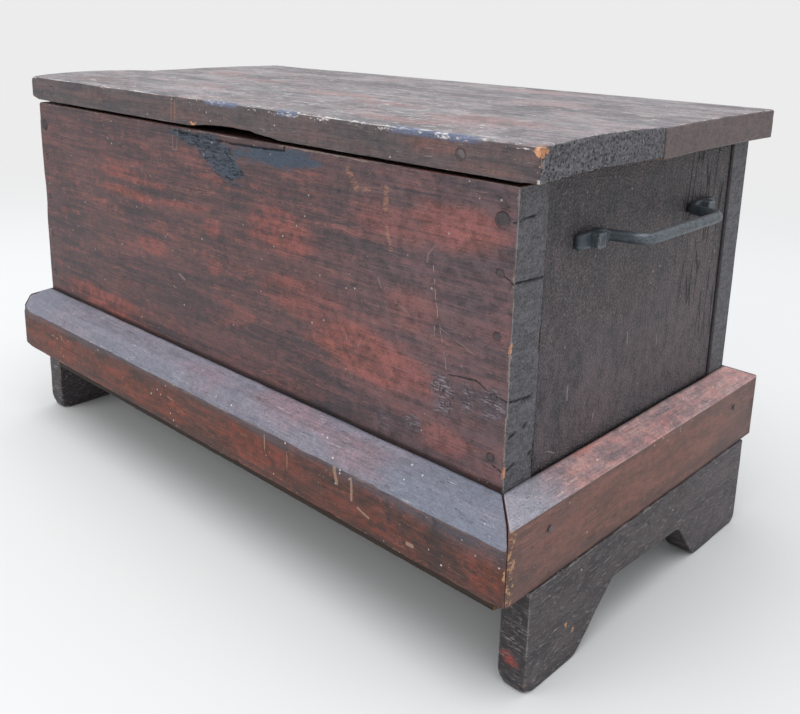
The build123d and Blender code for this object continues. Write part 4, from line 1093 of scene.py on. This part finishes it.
def runner(side, sign):
    """A runner with a rounded toe and heel and an arch between its feet."""
    node = f"runner_{side}"
    low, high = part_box(node)
    y_lines = grid_lines(low.y, high.y, 2.4 * MM, [(-0.115, -0.05, 1.4 * MM), (0.05, 0.1, 1.4 * MM)])
    skin = Skin(grid_lines(low.x, high.x, 4 * MM), y_lines, grid_lines(0, high.z, 2.6 * MM))
    rest = skin.p.copy()
    x, y, z = rest.T
    seed = 190 + sign
    radius = 1.6 + 1.0 * layered(rest, 0.02, seed)
    chip = ease(0.02, 0.004, np.hypot(y - low.y, z)) * (x > high.x - 12 * MM)
    radius = radius + 2.0 * chip * (sign > 0) + 5.0 * ease(0.012, 0.004, z) * (y < low.y + 10 * MM)
    skin.round_off(np.clip(radius, 0.8, 7) * MM)
    heel, toe = 10 * MM, 3 * MM
    lift = corner_lift(y - (high.y - heel), heel) + corner_lift(low.y + toe - y, toe)
    bottom = np.maximum(arch_height(y), lift)
    skin.p[:, 2] = bottom + skin.p[:, 2] * (high.z - bottom) / high.z
    outer = skin_side(rest, low, high, 0, sign > 0)
    inner = skin_side(rest, low, high, 0, sign < 0)
    sway = np.maximum(layered(rest, (0.05, 0.05, 0.03), seed + 5), 0) * 0.6 * MM
    skin.p[:, 0] -= sign * (outer - inner) * sway
    skin.mark("shade", (1 - outer) * 0.9 + outer * 0.1)
    if sign > 0:
        red = spots(rest, (0, 2), [(342, 24, 9, 5, -25, 0.9)], 195, grain=(0.006, 0.002))
        skin.mark("blue", red * skin.on(1, False, 3 * MM))
        bare = [(-122, 36, 4, 4, 0, 1.0), (-111, 27, 3, 3, 30, 1.0)]
        skin.mark("raw", spots(rest, (1, 2), bare, 196, grain=(0.004, 0.004)) * outer)
        skin.mark("raw", ease(0.5, 1.0, chip) * 0.55 * (skin.arris < 2.5 * MM))
    skin.mark("front_end", skin.on(1, False, 3 * MM).astype(float))
    skin.mark("faded", outer * ease(0.02, 0.12, y) * 0.4)
    # Darker towards the floor, and painted shade on each runner's sides other than its outer one, far more on
    # the right
    skin.mark("dirt_and_shade", ease(12 * MM, 0, skin.p[:, 2]) * 0.2 + (1 - outer) * (0.36 if sign > 0 else 0.06))
    board(node, skin, "chest", paint_runner)


# Lid
def lid_plank(node, cup, x_step, y_step, seed):
    """The skin of a cupped lid plank with ragged end grain, and its points before wear and cupping."""
    y_low, y_high = span(node, 1)
    skin = Skin(grid_lines(LID_LEFT, LID_RIGHT, x_step), grid_lines(y_low, y_high, y_step),
                grid_lines(0, LID_THICK, 3 * MM))
    rest = skin.p.copy()
    front = node == "lid_front_plank"
    middle, half = (y_low + y_high) / 2, (y_high - y_low) / 2
    x, y, up = rest.T
    radius = 1.6 + 0.8 * layered(rest, 0.02, seed)
    outer_top = up > LID_THICK - 12 * MM
    radius += 0.8 * ((np.abs(x) > LID_RIGHT - 12 * MM) & outer_top)
    if front:
        nose_top = (y < y_low + 14 * MM) & outer_top
        radius = np.where(nose_top, 3.2 + 2.6 * layered(rest, (0.028, 0.02, 0.02), seed + 1, 4), radius)
        skin.round_off(np.where(x < 0, 9.0, 3.0) * MM * (y < middle) + 0.5 * MM, axes=(0, 1))
        radius = radius + 6.0 * ease(20 * MM, 6 * MM, np.hypot(x - LID_LEFT, y - y_low))
        at_joint = y > y_high - 8 * MM
    else:
        skin.round_off(np.where(y > middle, 3.0, 0.3) * MM, axes=(0, 1))
        at_joint = y < y_low + 8 * MM
    skin.arris[at_joint] = FAR_FROM_ARRIS
    skin.rim[at_joint] = FAR_FROM_ARRIS
    skin.round_off(np.clip(radius, 0.7, 7.0) * MM)
    rise = cup * (1 - ((skin.p[:, 1] - middle) / half) ** 2)
    base = hand_hollow(skin.p, rest, y_low, seed + 2) if front else 0
    skin.p[:, 2] = base + skin.p[:, 2] * (LID_THICK - base) / LID_THICK
    skin.p[:, 2] += LID_UNDER + rise
    top = up > LID_THICK - ON_PLANE
    skin.p[:, 2] -= top * np.maximum(layered(rest, (0.14, 0.03, 0.03), seed + 3), 0) * 0.7 * MM
    ends = (x > LID_RIGHT - ON_PLANE) * 1.0 - (x < LID_LEFT + ON_PLANE)
    rough = np.maximum(layered(rest, (0.004, 0.004, 0.003), seed + 4, 2), -0.2) + 0.2
    skin.p[:, 0] -= ends * rough * (0.9 if front else 0.3) * MM
    if front:
        nose = y < y_low + ON_PLANE
        skin.p[:, 1] += nose * np.maximum(layered(rest, (0.06, 0.02, 0.012), seed + 5), 0) * 0.7 * MM
        lower_rim = (up < 3 * MM) & (x > LID_RIGHT - 14 * MM)
        skin.p[:, 2] += lower_rim * np.abs(layered(rest, (0.02, 0.0055, 0.02), seed + 6, 2)) * 2.8 * MM
    return skin, rest


def hand_hollow(p, rest, y_low, seed):
    """How far hands have worn a shallow arc up into the lid's lower front edge."""
    arc = (HOLLOW_LENGTH**2 / 4 + HOLLOW_DEPTH**2) / (2 * HOLLOW_DEPTH)
    depth = HOLLOW_DEPTH - arc + np.sqrt(np.maximum(arc**2 - (p[:, 0] - HOLLOW_X) ** 2, 0))
    ragged = 1.0 * MM * layered(rest, 0.012, seed)
    hollow = depth - (p[:, 1] - y_low) * math.tan(HOLLOW_TILT)
    return np.maximum(hollow + ragged * (depth > 0), 0) * (depth > 0)


def lid_front():
    """The lid's front plank: broken paint, flakes and blue along its worn front arris."""
    skin, rest = lid_plank("lid_front_plank", FRONT_CUP, 2.6 * MM, 2.2 * MM, 200)
    x, y, up = rest.T
    top = up > LID_THICK - ON_PLANE
    edge = (y < LID_FRONT + 9 * MM) & (up > LID_THICK - 4 * MM) & (skin.arris < 8 * MM)
    rim = edge * ease(5.5 * MM, 2.5 * MM, skin.arris)
    broken = np.clip(0.5 + 1.6 * layered(rest, (0.014, 0.01, 0.01), 211, 4), 0, 1)
    flakes = bands(x, ((-0.188, 0.012), (-0.062, 0.022), (-0.045, 0.008), (0.29, 0.012)))
    skin.mark("raw", rim * np.clip(flakes, 0, 1) * 0.7 * broken)
    to_corner = np.hypot(x - LID_RIGHT, y - LID_FRONT)
    skin.mark("raw", ease(0.011, 0.003, to_corner) * ease(16 * MM, 21 * MM, up) * 0.9)
    upright = ease(4.5 * MM, 2 * MM, to_corner)
    skin.mark("pale", upright * 0.8 * broken)
    skin.mark("raw", upright * 0.5 * (1 - broken))
    lower_chip = ease(0.009, 0.003, np.abs(x + 0.03)) * (y < LID_FRONT + 4 * MM) * (up < 4 * MM)
    skin.mark("raw", lower_chip * 0.7)
    blue = bands(x, ((0.012, 0.028), (0.10, 0.015), (0.255, 0.05)), 0.6)
    skin.mark("blue", rim * np.clip(blue, 0, 1) * 0.95)
    skin.mark("pale", rim * broken * (0.34 + 0.3 * ease(-0.1, 0.1, x)))
    skin.mark("warm", top * spots(rest, (0, 1), [
        (38, -50, 50, 20, 0, 0.8), (250, -110, 60, 30, 10, 0.7), (-20, -40, 30, 10, 0, 0.6),
        (-250, -140, 50, 30, 0, 0.35), (120, -80, 50, 12, 0, 0.8), (200, -150, 50, 10, 0, 0.7),
        (-100, -100, 50, 10, 0, 0.5)], 207, grain=(0.04, 0.006)))
    skin.mark("shade", top * spots(rest, (0, 1), [
        (-120, -60, 120, 12, 0, 0.9), (50, -120, 90, 10, 0, 0.8), (240, -60, 70, 12, 0, 0.8),
        (-220, -110, 100, 10, 0, 0.7), (0, -155, 140, 6, 0, 0.7), (300, -120, 30, 20, 0, 0.6)],
        209, grain=(0.05, 0.006)))
    skin.mark("warm", (y < LID_FRONT + ON_PLANE) * spots(rest, (0, 2), [
        (260, 15, 30, 8, 0, 0.8), (-50, 10, 50, 7, 0, 0.6), (300, 6, 40, 5, 0, 0.6),
        (-200, 14, 60, 6, 0, 0.5)], 208))
    others = {TOP_SIDE: paint_lid_and_sheen, RIGHT_SIDE: grain_lid, LEFT_SIDE: grain_lid, UNDERSIDE: wood_x}
    board("lid_front_plank", skin, "lid", paint_lid_edge, others)


def lid_rear():
    """The lid's rear plank, notched over the hinges."""
    skin, rest = lid_plank("lid_rear_plank", REAR_CUP, 3.6 * MM, 4 * MM, 220)
    x, y, up = rest.T
    top = up > LID_THICK - ON_PLANE
    over_leaf = (np.abs(np.abs(x) - HINGE_X) < NOTCH_HALF) & (y > NOTCH_FRONT) & (y < NOTCH_BACK)
    skin.p[over_leaf & (up < 3.2 * MM), 2] += NOTCH_DEPTH
    skin.mark("warm", top * spots(rest, (0, 1), [
        (-260, 32, 40, 20, 0, 0.7), (-140, 0, 50, 12, 0, 0.7), (115, 145, 50, 20, 0, 0.7),
        (200, 50, 50, 30, 0, 0.4)], 227, grain=(0.04, 0.008)))
    skin.mark("shade", top * spots(rest, (0, 1), [
        (-50, 50, 160, 20, 0, 0.9), (160, 100, 120, 20, 0, 0.9), (-200, 120, 100, 20, 0, 0.8),
        (250, 20, 80, 15, 0, 0.8)], 229, grain=(0.05, 0.008)))
    skin.mark("warm", 0.35 * (np.abs(x) > LID_RIGHT - ON_PLANE))
    others = {TOP_SIDE: paint_lid_and_sheen, RIGHT_SIDE: grain_rear, LEFT_SIDE: grain_rear, UNDERSIDE: wood_x}
    board("lid_rear_plank", skin, "lid", paint_lid_edge, others)


def batten(side):
    """A batten under the lid, with bevelled lower edges."""
    node = f"lid_batten_{side}"
    skin, rest = plain_board(node, 240, 4 * MM)
    bevel = 5 * MM
    low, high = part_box(node)
    near_foot = np.clip((low.z + bevel - rest[:, 2]) / bevel, 0, 1)
    for axis in (0, 1):
        middle, half = (low[axis] + high[axis]) / 2, (high[axis] - low[axis]) / 2
        skin.p[:, axis] = middle + (skin.p[:, axis] - middle) * (half - bevel * near_foot) / half
    board(node, skin, "lid", wood_y)


# Iron and pegs
HEAD_SIDES = 14
HEAD_PROFILE = [(0.35, 0.93), (0.65, 0.72), (0.88, 0.38), (1.0, 0.0), (1.0, -1.6)]    # radius, height


def frame_axes(normal):
    """Two directions across a normal."""
    side = normal.cross(Vector((0, 0, 1)))
    if side.length < 1e-3:
        side = Vector((1, 0, 0))
    side.normalize()
    return side, normal.cross(side)


def heads(name, node, radius, dome, body, material, seed, square, sunk):
    """Domed and battered heads of nails or pegs, each with a short skirt down into the wood."""
    rng = np.random.default_rng(seed)
    points, faces = [], []
    rings = len(HEAD_PROFILE)
    for site, normal in nail_places(node):
        normal = Vector(normal).normalized()
        site = Vector(site) - normal * sunk
        across, up = frame_axes(normal)
        start = len(points)
        outline = 1 + 0.07 * rng.standard_normal(HEAD_SIDES)
        tilt = rng.uniform(-0.12, 0.12, 2)
        angles = np.arange(HEAD_SIDES) * 2 * math.pi / HEAD_SIDES
        points.append(site + normal * dome)
        for share, level in HEAD_PROFILE:
            for n, angle in enumerate(angles):
                boxy = 1 + square * 0.16 * math.cos(4 * angle)
                r = radius * share * outline[n] * boxy
                c, s = math.cos(angle) * r, math.sin(angle) * r
                rough = 0.05 * rng.standard_normal() * dome if level > 0 else 0
                lift = dome * level + (tilt[0] * c + tilt[1] * s) * (level > -1) + rough
                points.append(site + across * c + up * s + normal * lift)
        for n in range(HEAD_SIDES):
            m = (n + 1) % HEAD_SIDES
            faces.append((start, start + 1 + n, start + 1 + m))
            for ring in range(rings - 1):
                a = start + 1 + ring * HEAD_SIDES
                faces.append((a + n, a + HEAD_SIDES + n, a + HEAD_SIDES + m, a + m))
        base = start + 1 + (rings - 1) * HEAD_SIDES
        faces.append(tuple(base + n for n in reversed(range(HEAD_SIDES))))
    piece(name, points, faces, body, [material], [node])


def all_nails():
    """The heads of every group of nails, and the ends of the pegs."""
    # node, radius, height of the dome, body, material, squareness, depth below the flat board's face
    plans = [("front_nails", 2.7, 0.5, "chest", iron_nail, 0.4, 0),
             ("back_nails", 2.7, 0.5, "chest", iron_nail, 0.4, 0),
             ("plinth_nails", 2.8, 0.3, "chest", nail_painted, 0.3, 0.35),
             ("runner_nails", 3.0, 0.3, "chest", iron_nail, 0.5, 0),
             ("floor_nails", 3.2, 0.3, "chest", iron_nail, 0.5, 0),
             ("batten_nails", 3.1, 0.6, "lid", iron_nail, 0.3, 0),
             ("lid_edge_nails", 3.9, 0.4, "lid", nail_painted, 0.0, 0),
             ("corner_pegs", 5.3, 0.5, "chest", peg_end, 0.0, 0)]
    for number, (node, radius, dome, body, material, square, sunk) in enumerate(plans):
        peg = node == "corner_pegs"
        name = f"{node}_{'shaved' if peg else 'hammered'}"
        heads(name, node, radius * MM, dome * MM, body, material, 300 + number, square, sunk * MM)


def bar_path(corners, radii, step):
    """A polyline with its corners rounded, as points no further apart than a step."""
    points = [corners[0]]
    for before, at, after, radius in zip(corners, corners[1:], corners[2:], radii):
        into, out = (before - at).normalized(), (after - at).normalized()
        half = into.angle(out) / 2
        middle = (into + out).normalized()
        centre = at + middle * radius / math.sin(half)
        sideways = (into - out).normalized()
        swing = math.pi / 2 - half
        count = max(3, round(2 * radius * swing / step))
        for n in range(count + 1):
            angle = swing * (1 - 2 * n / count)
            points.append(centre + radius * (sideways * math.sin(angle) - middle * math.cos(angle)))
    points.append(corners[-1])
    dense = [points[0]]
    for point in points[1:]:
        first = dense[-1].copy()
        count = max(1, math.ceil((point - first).length / step))
        dense.extend(first.lerp(point, n / count) for n in range(1, count + 1))
    return dense


def handle(side, sign):
    """A forged bar bent twice, with both ends hammered flat against the board."""
    low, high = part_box(f"handle_{side}")
    middle = Vector((sign * END_FACE, 0, (low.z + high.z) / 2))
    run, out, across = Vector((0, 1, 0)), Vector((sign, 0, 0)), Vector((0, 0, 1))
    bar, foot_wide, foot_thick = 4.4 * MM, 6.0 * MM, 3.25 * MM    # half of each
    cad_bar, foot_length, leg_spread = 4.6 * MM, 43 * MM, 8 * MM
    reach = max(abs(low.x), abs(high.x)) - END_FACE - cad_bar
    foot = high.y
    root = foot - foot_length + cad_bar
    grip = root - leg_spread
    corners = [(-foot, foot_thick), (-root, foot_thick), (-grip, reach),
               (grip, reach), (root, foot_thick), (foot, foot_thick)]
    bends = [6 * MM, 11 * MM, 11 * MM, 6 * MM]
    path = bar_path([middle + run * u + out * w for u, w in corners], bends, 1.9 * MM)
    sides = 18
    points, rubbed = [], []
    for n, at in enumerate(path):
        ahead = (path[min(n + 1, len(path) - 1)] - path[max(n - 1, 0)]).normalized()
        thick_way = ahead.cross(across).normalized()
        u = abs((at - middle).dot(run))
        w = (at - middle).dot(out)
        flatness = float(ease(root + 0.5 * MM, root + 9 * MM, u))
        tip = float(ease(foot - 2.5 * MM, foot, u)) if w < 5 * MM else 0.0
        half_wide = bar + (foot_wide - bar) * flatness - 1.2 * MM * tip
        half_thick = bar + (foot_thick - bar) * flatness - 0.8 * MM * tip
        swell = 1 + 0.03 * math.sin(u * 210) + 0.02 * math.sin(u * 530 + 1) if flatness < 0.5 else 1
        power = 2 / (2 + 3.5 * flatness)
        for k in range(sides):
            angle = 2 * math.pi * k / sides
            c, s = math.cos(angle), math.sin(angle)
            wide = math.copysign(abs(c) ** power, c) * half_wide * swell
            thick = math.copysign(abs(s) ** power, s) * half_thick * swell
            points.append(at + across * wide + thick_way * thick)
            # Rubbed bright at the grip, and brighter on the bar's upper side as a painted highlight
            rubbed.append(float(ease(0.018, 0.03, w)) * (0.35 + 0.65 * max(0.0, c)))
    faces = []
    for a in range(0, len(points) - sides, sides):
        for k in range(sides):
            m = (k + 1) % sides
            faces.append((a + k, a + m, a + sides + m, a + sides + k))
    last = len(points) - sides
    faces += [tuple(reversed(range(sides))), tuple(last + k for k in range(sides))]
    piece(f"handle_{side}_forged", points, faces, "chest", [iron_handle], [f"handle_{side}"],
          {"rubbed": rubbed})
    bolts(side, sign, middle, run, out, across)


def bolts(side, sign, middle, run, out, across):
    """Two square bolt heads on a handle's feet, hammered and softened."""
    low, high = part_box(f"handle_bolts_{side}")
    half_long, half_tall = 5 * MM, (high.z - low.z) / 2
    top = max(abs(low.x), abs(high.x)) - END_FACE
    points, faces, rubbed = [], [], []
    for place in (low.y + half_long, high.y - half_long):
        skin = Skin(grid_lines(-half_long, half_long, 2 * MM), grid_lines(-half_tall, half_tall, 2 * MM),
                    grid_lines(0, top - 0.1 * MM, 2 * MM))
        skin.round_off((1.0 + 0.4 * layered(skin.p + place, 0.004, 330)) * MM)
        turned = skin.faces + len(points)
        faces.extend(turned if sign > 0 else turned[:, ::-1])
        points.extend(middle + run * (place + u) + across * v + out * w for u, v, w in skin.p)
        rubbed.extend(ease(3 * MM, 1 * MM, skin.arris) * 0.8)
    piece(f"handle_bolts_{side}_forged", points, faces, "chest", [iron_handle],
          [f"handle_bolts_{side}"], {"rubbed": rubbed})


def hinges():
    """The hinges keep their CAD solids, in old iron and with softened edges."""
    for name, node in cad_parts.items():
        if name.startswith("hinge"):
            node.data.materials.clear()
            node.data.materials.append(iron_hinge)
            softened = node.modifiers.new("softened", "BEVEL")
            softened.width = 0.25 * MM
            softened.segments = 2
            softened.limit_method = "ANGLE"


front_board()
back_board()
for side, sign in SIDES:
    end_board(side, sign)
    runner(side, sign)
    handle(side, sign)
    batten(side)
for number in (1, 2, 3):
    floor_board(number)
for side in ("front", "back", "left", "right"):
    plinth_board(side)
lid_front()
lid_rear()
all_nails()

hinges()


# Floor, light and camera
FLOOR_PALE = tone(236, 236, 236)
FLOOR_REACH = 30.0
FADE_START, FADE_END = 0.9, 2.2    # how far from the chest the paper turns into background


def studio_floor():
    """Pale paper that keeps the chest's shadow and turns into plain background further off."""
    mesh = bpy.data.meshes.new("studio_floor")
    corners = [(-1, -1), (1, -1), (1, 1), (-1, 1)]
    mesh.from_pydata([(x * FLOOR_REACH, y * FLOOR_REACH, 0) for x, y in corners], [], [(0, 1, 2, 3)])
    floor = bpy.data.objects.new("studio_floor", mesh)
    bpy.context.scene.collection.objects.link(floor)
    g = Graph("floor_paper")
    away = g.step(Value(g, g.vector("LENGTH", g.place, output="Value")), FADE_START, FADE_END)
    seen = Value(g, g.node("ShaderNodeLightPath").outputs["Is Camera Ray"])
    paper = g.node("ShaderNodeBsdfDiffuse", None, Color=FLOOR_PALE)
    glow = g.node("ShaderNodeEmission", None, Color=FLOOR_PALE, Strength=1.0)
    blend = g.node("ShaderNodeMixShader")
    for socket, value in zip(blend.inputs, (away * seen, paper.outputs[0], glow.outputs[0])):
        g.feed(socket, value)
    g.node("ShaderNodeOutputMaterial", None, Surface=blend.outputs[0])
    mesh.materials.append(g.material)


def studio_world():
    """Soft light from all round; the camera sees the floor's pale colour instead."""
    world = bpy.data.worlds.new("studio")
    bpy.context.scene.world = world
    world.use_nodes = True
    tree = world.node_tree
    tree.nodes.clear()
    path = tree.nodes.new("ShaderNodeLightPath")
    soft = tree.nodes.new("ShaderNodeBackground")
    soft.inputs["Color"].default_value = (0.95, 0.98, 1.0, 1.0)
    soft.inputs["Strength"].default_value = 0.74
    shown = tree.nodes.new("ShaderNodeBackground")
    shown.inputs["Color"].default_value = FLOOR_PALE
    mixed = tree.nodes.new("ShaderNodeMixShader")
    output = tree.nodes.new("ShaderNodeOutputWorld")
    sources = (path.outputs["Is Camera Ray"], soft.outputs[0], shown.outputs[0])
    for source, target in zip(sources, mixed.inputs):
        tree.links.new(source, target)
    tree.links.new(mixed.outputs[0], output.inputs[0])


def studio_lamp(name, at, size, power):
    """A square soft lamp that faces the chest."""
    light = bpy.data.lights.new(name, "AREA")
    light.shape = "SQUARE"
    light.size = size
    light.energy = power
    lamp = bpy.data.objects.new(name, light)
    lamp.location = at
    lamp.rotation_mode = "QUATERNION"
    lamp.rotation_quaternion = (Vector((0, 0, 0.2)) - Vector(at)).to_track_quat("-Z", "Y")
    bpy.context.scene.collection.objects.link(lamp)


def camera():
    """The photograph's viewpoint, solved from the chest's own corners."""
    at = Vector((0.6746, -0.6579, 0.4856))
    yaw, pitch, roll = 0.770, 0.257, -0.018
    forward = Vector((-math.sin(yaw) * math.cos(pitch), math.cos(yaw) * math.cos(pitch), -math.sin(pitch)))
    level = Vector((math.cos(yaw), math.sin(yaw), 0))
    down = forward.cross(level)
    right = math.cos(roll) * level + math.sin(roll) * down
    lower = -math.sin(roll) * level + math.cos(roll) * down
    turn = Matrix((right, -lower, -forward)).transposed()
    lens = bpy.data.cameras.new("photo_view")
    lens.sensor_fit = "HORIZONTAL"
    lens.sensor_width = 36.0
    lens.lens = 41.83
    lens.shift_x = 0.0259
    lens.shift_y = -0.1346
    view = bpy.data.objects.new("photo_view", lens)
    view.matrix_world = Matrix.Translation(at) @ turn.to_4x4()
    bpy.context.scene.collection.objects.link(view)
    bpy.context.scene.camera = view


studio_floor()
studio_world()
studio_lamp("sky_panel", (0.2, -0.6, 3.2), 3.0, 58.0)
studio_lamp("front_panel", (-1.2, -2.8, 1.7), 1.8, 16.0)
camera()
bpy.context.scene.view_settings.view_transform = "Standard"
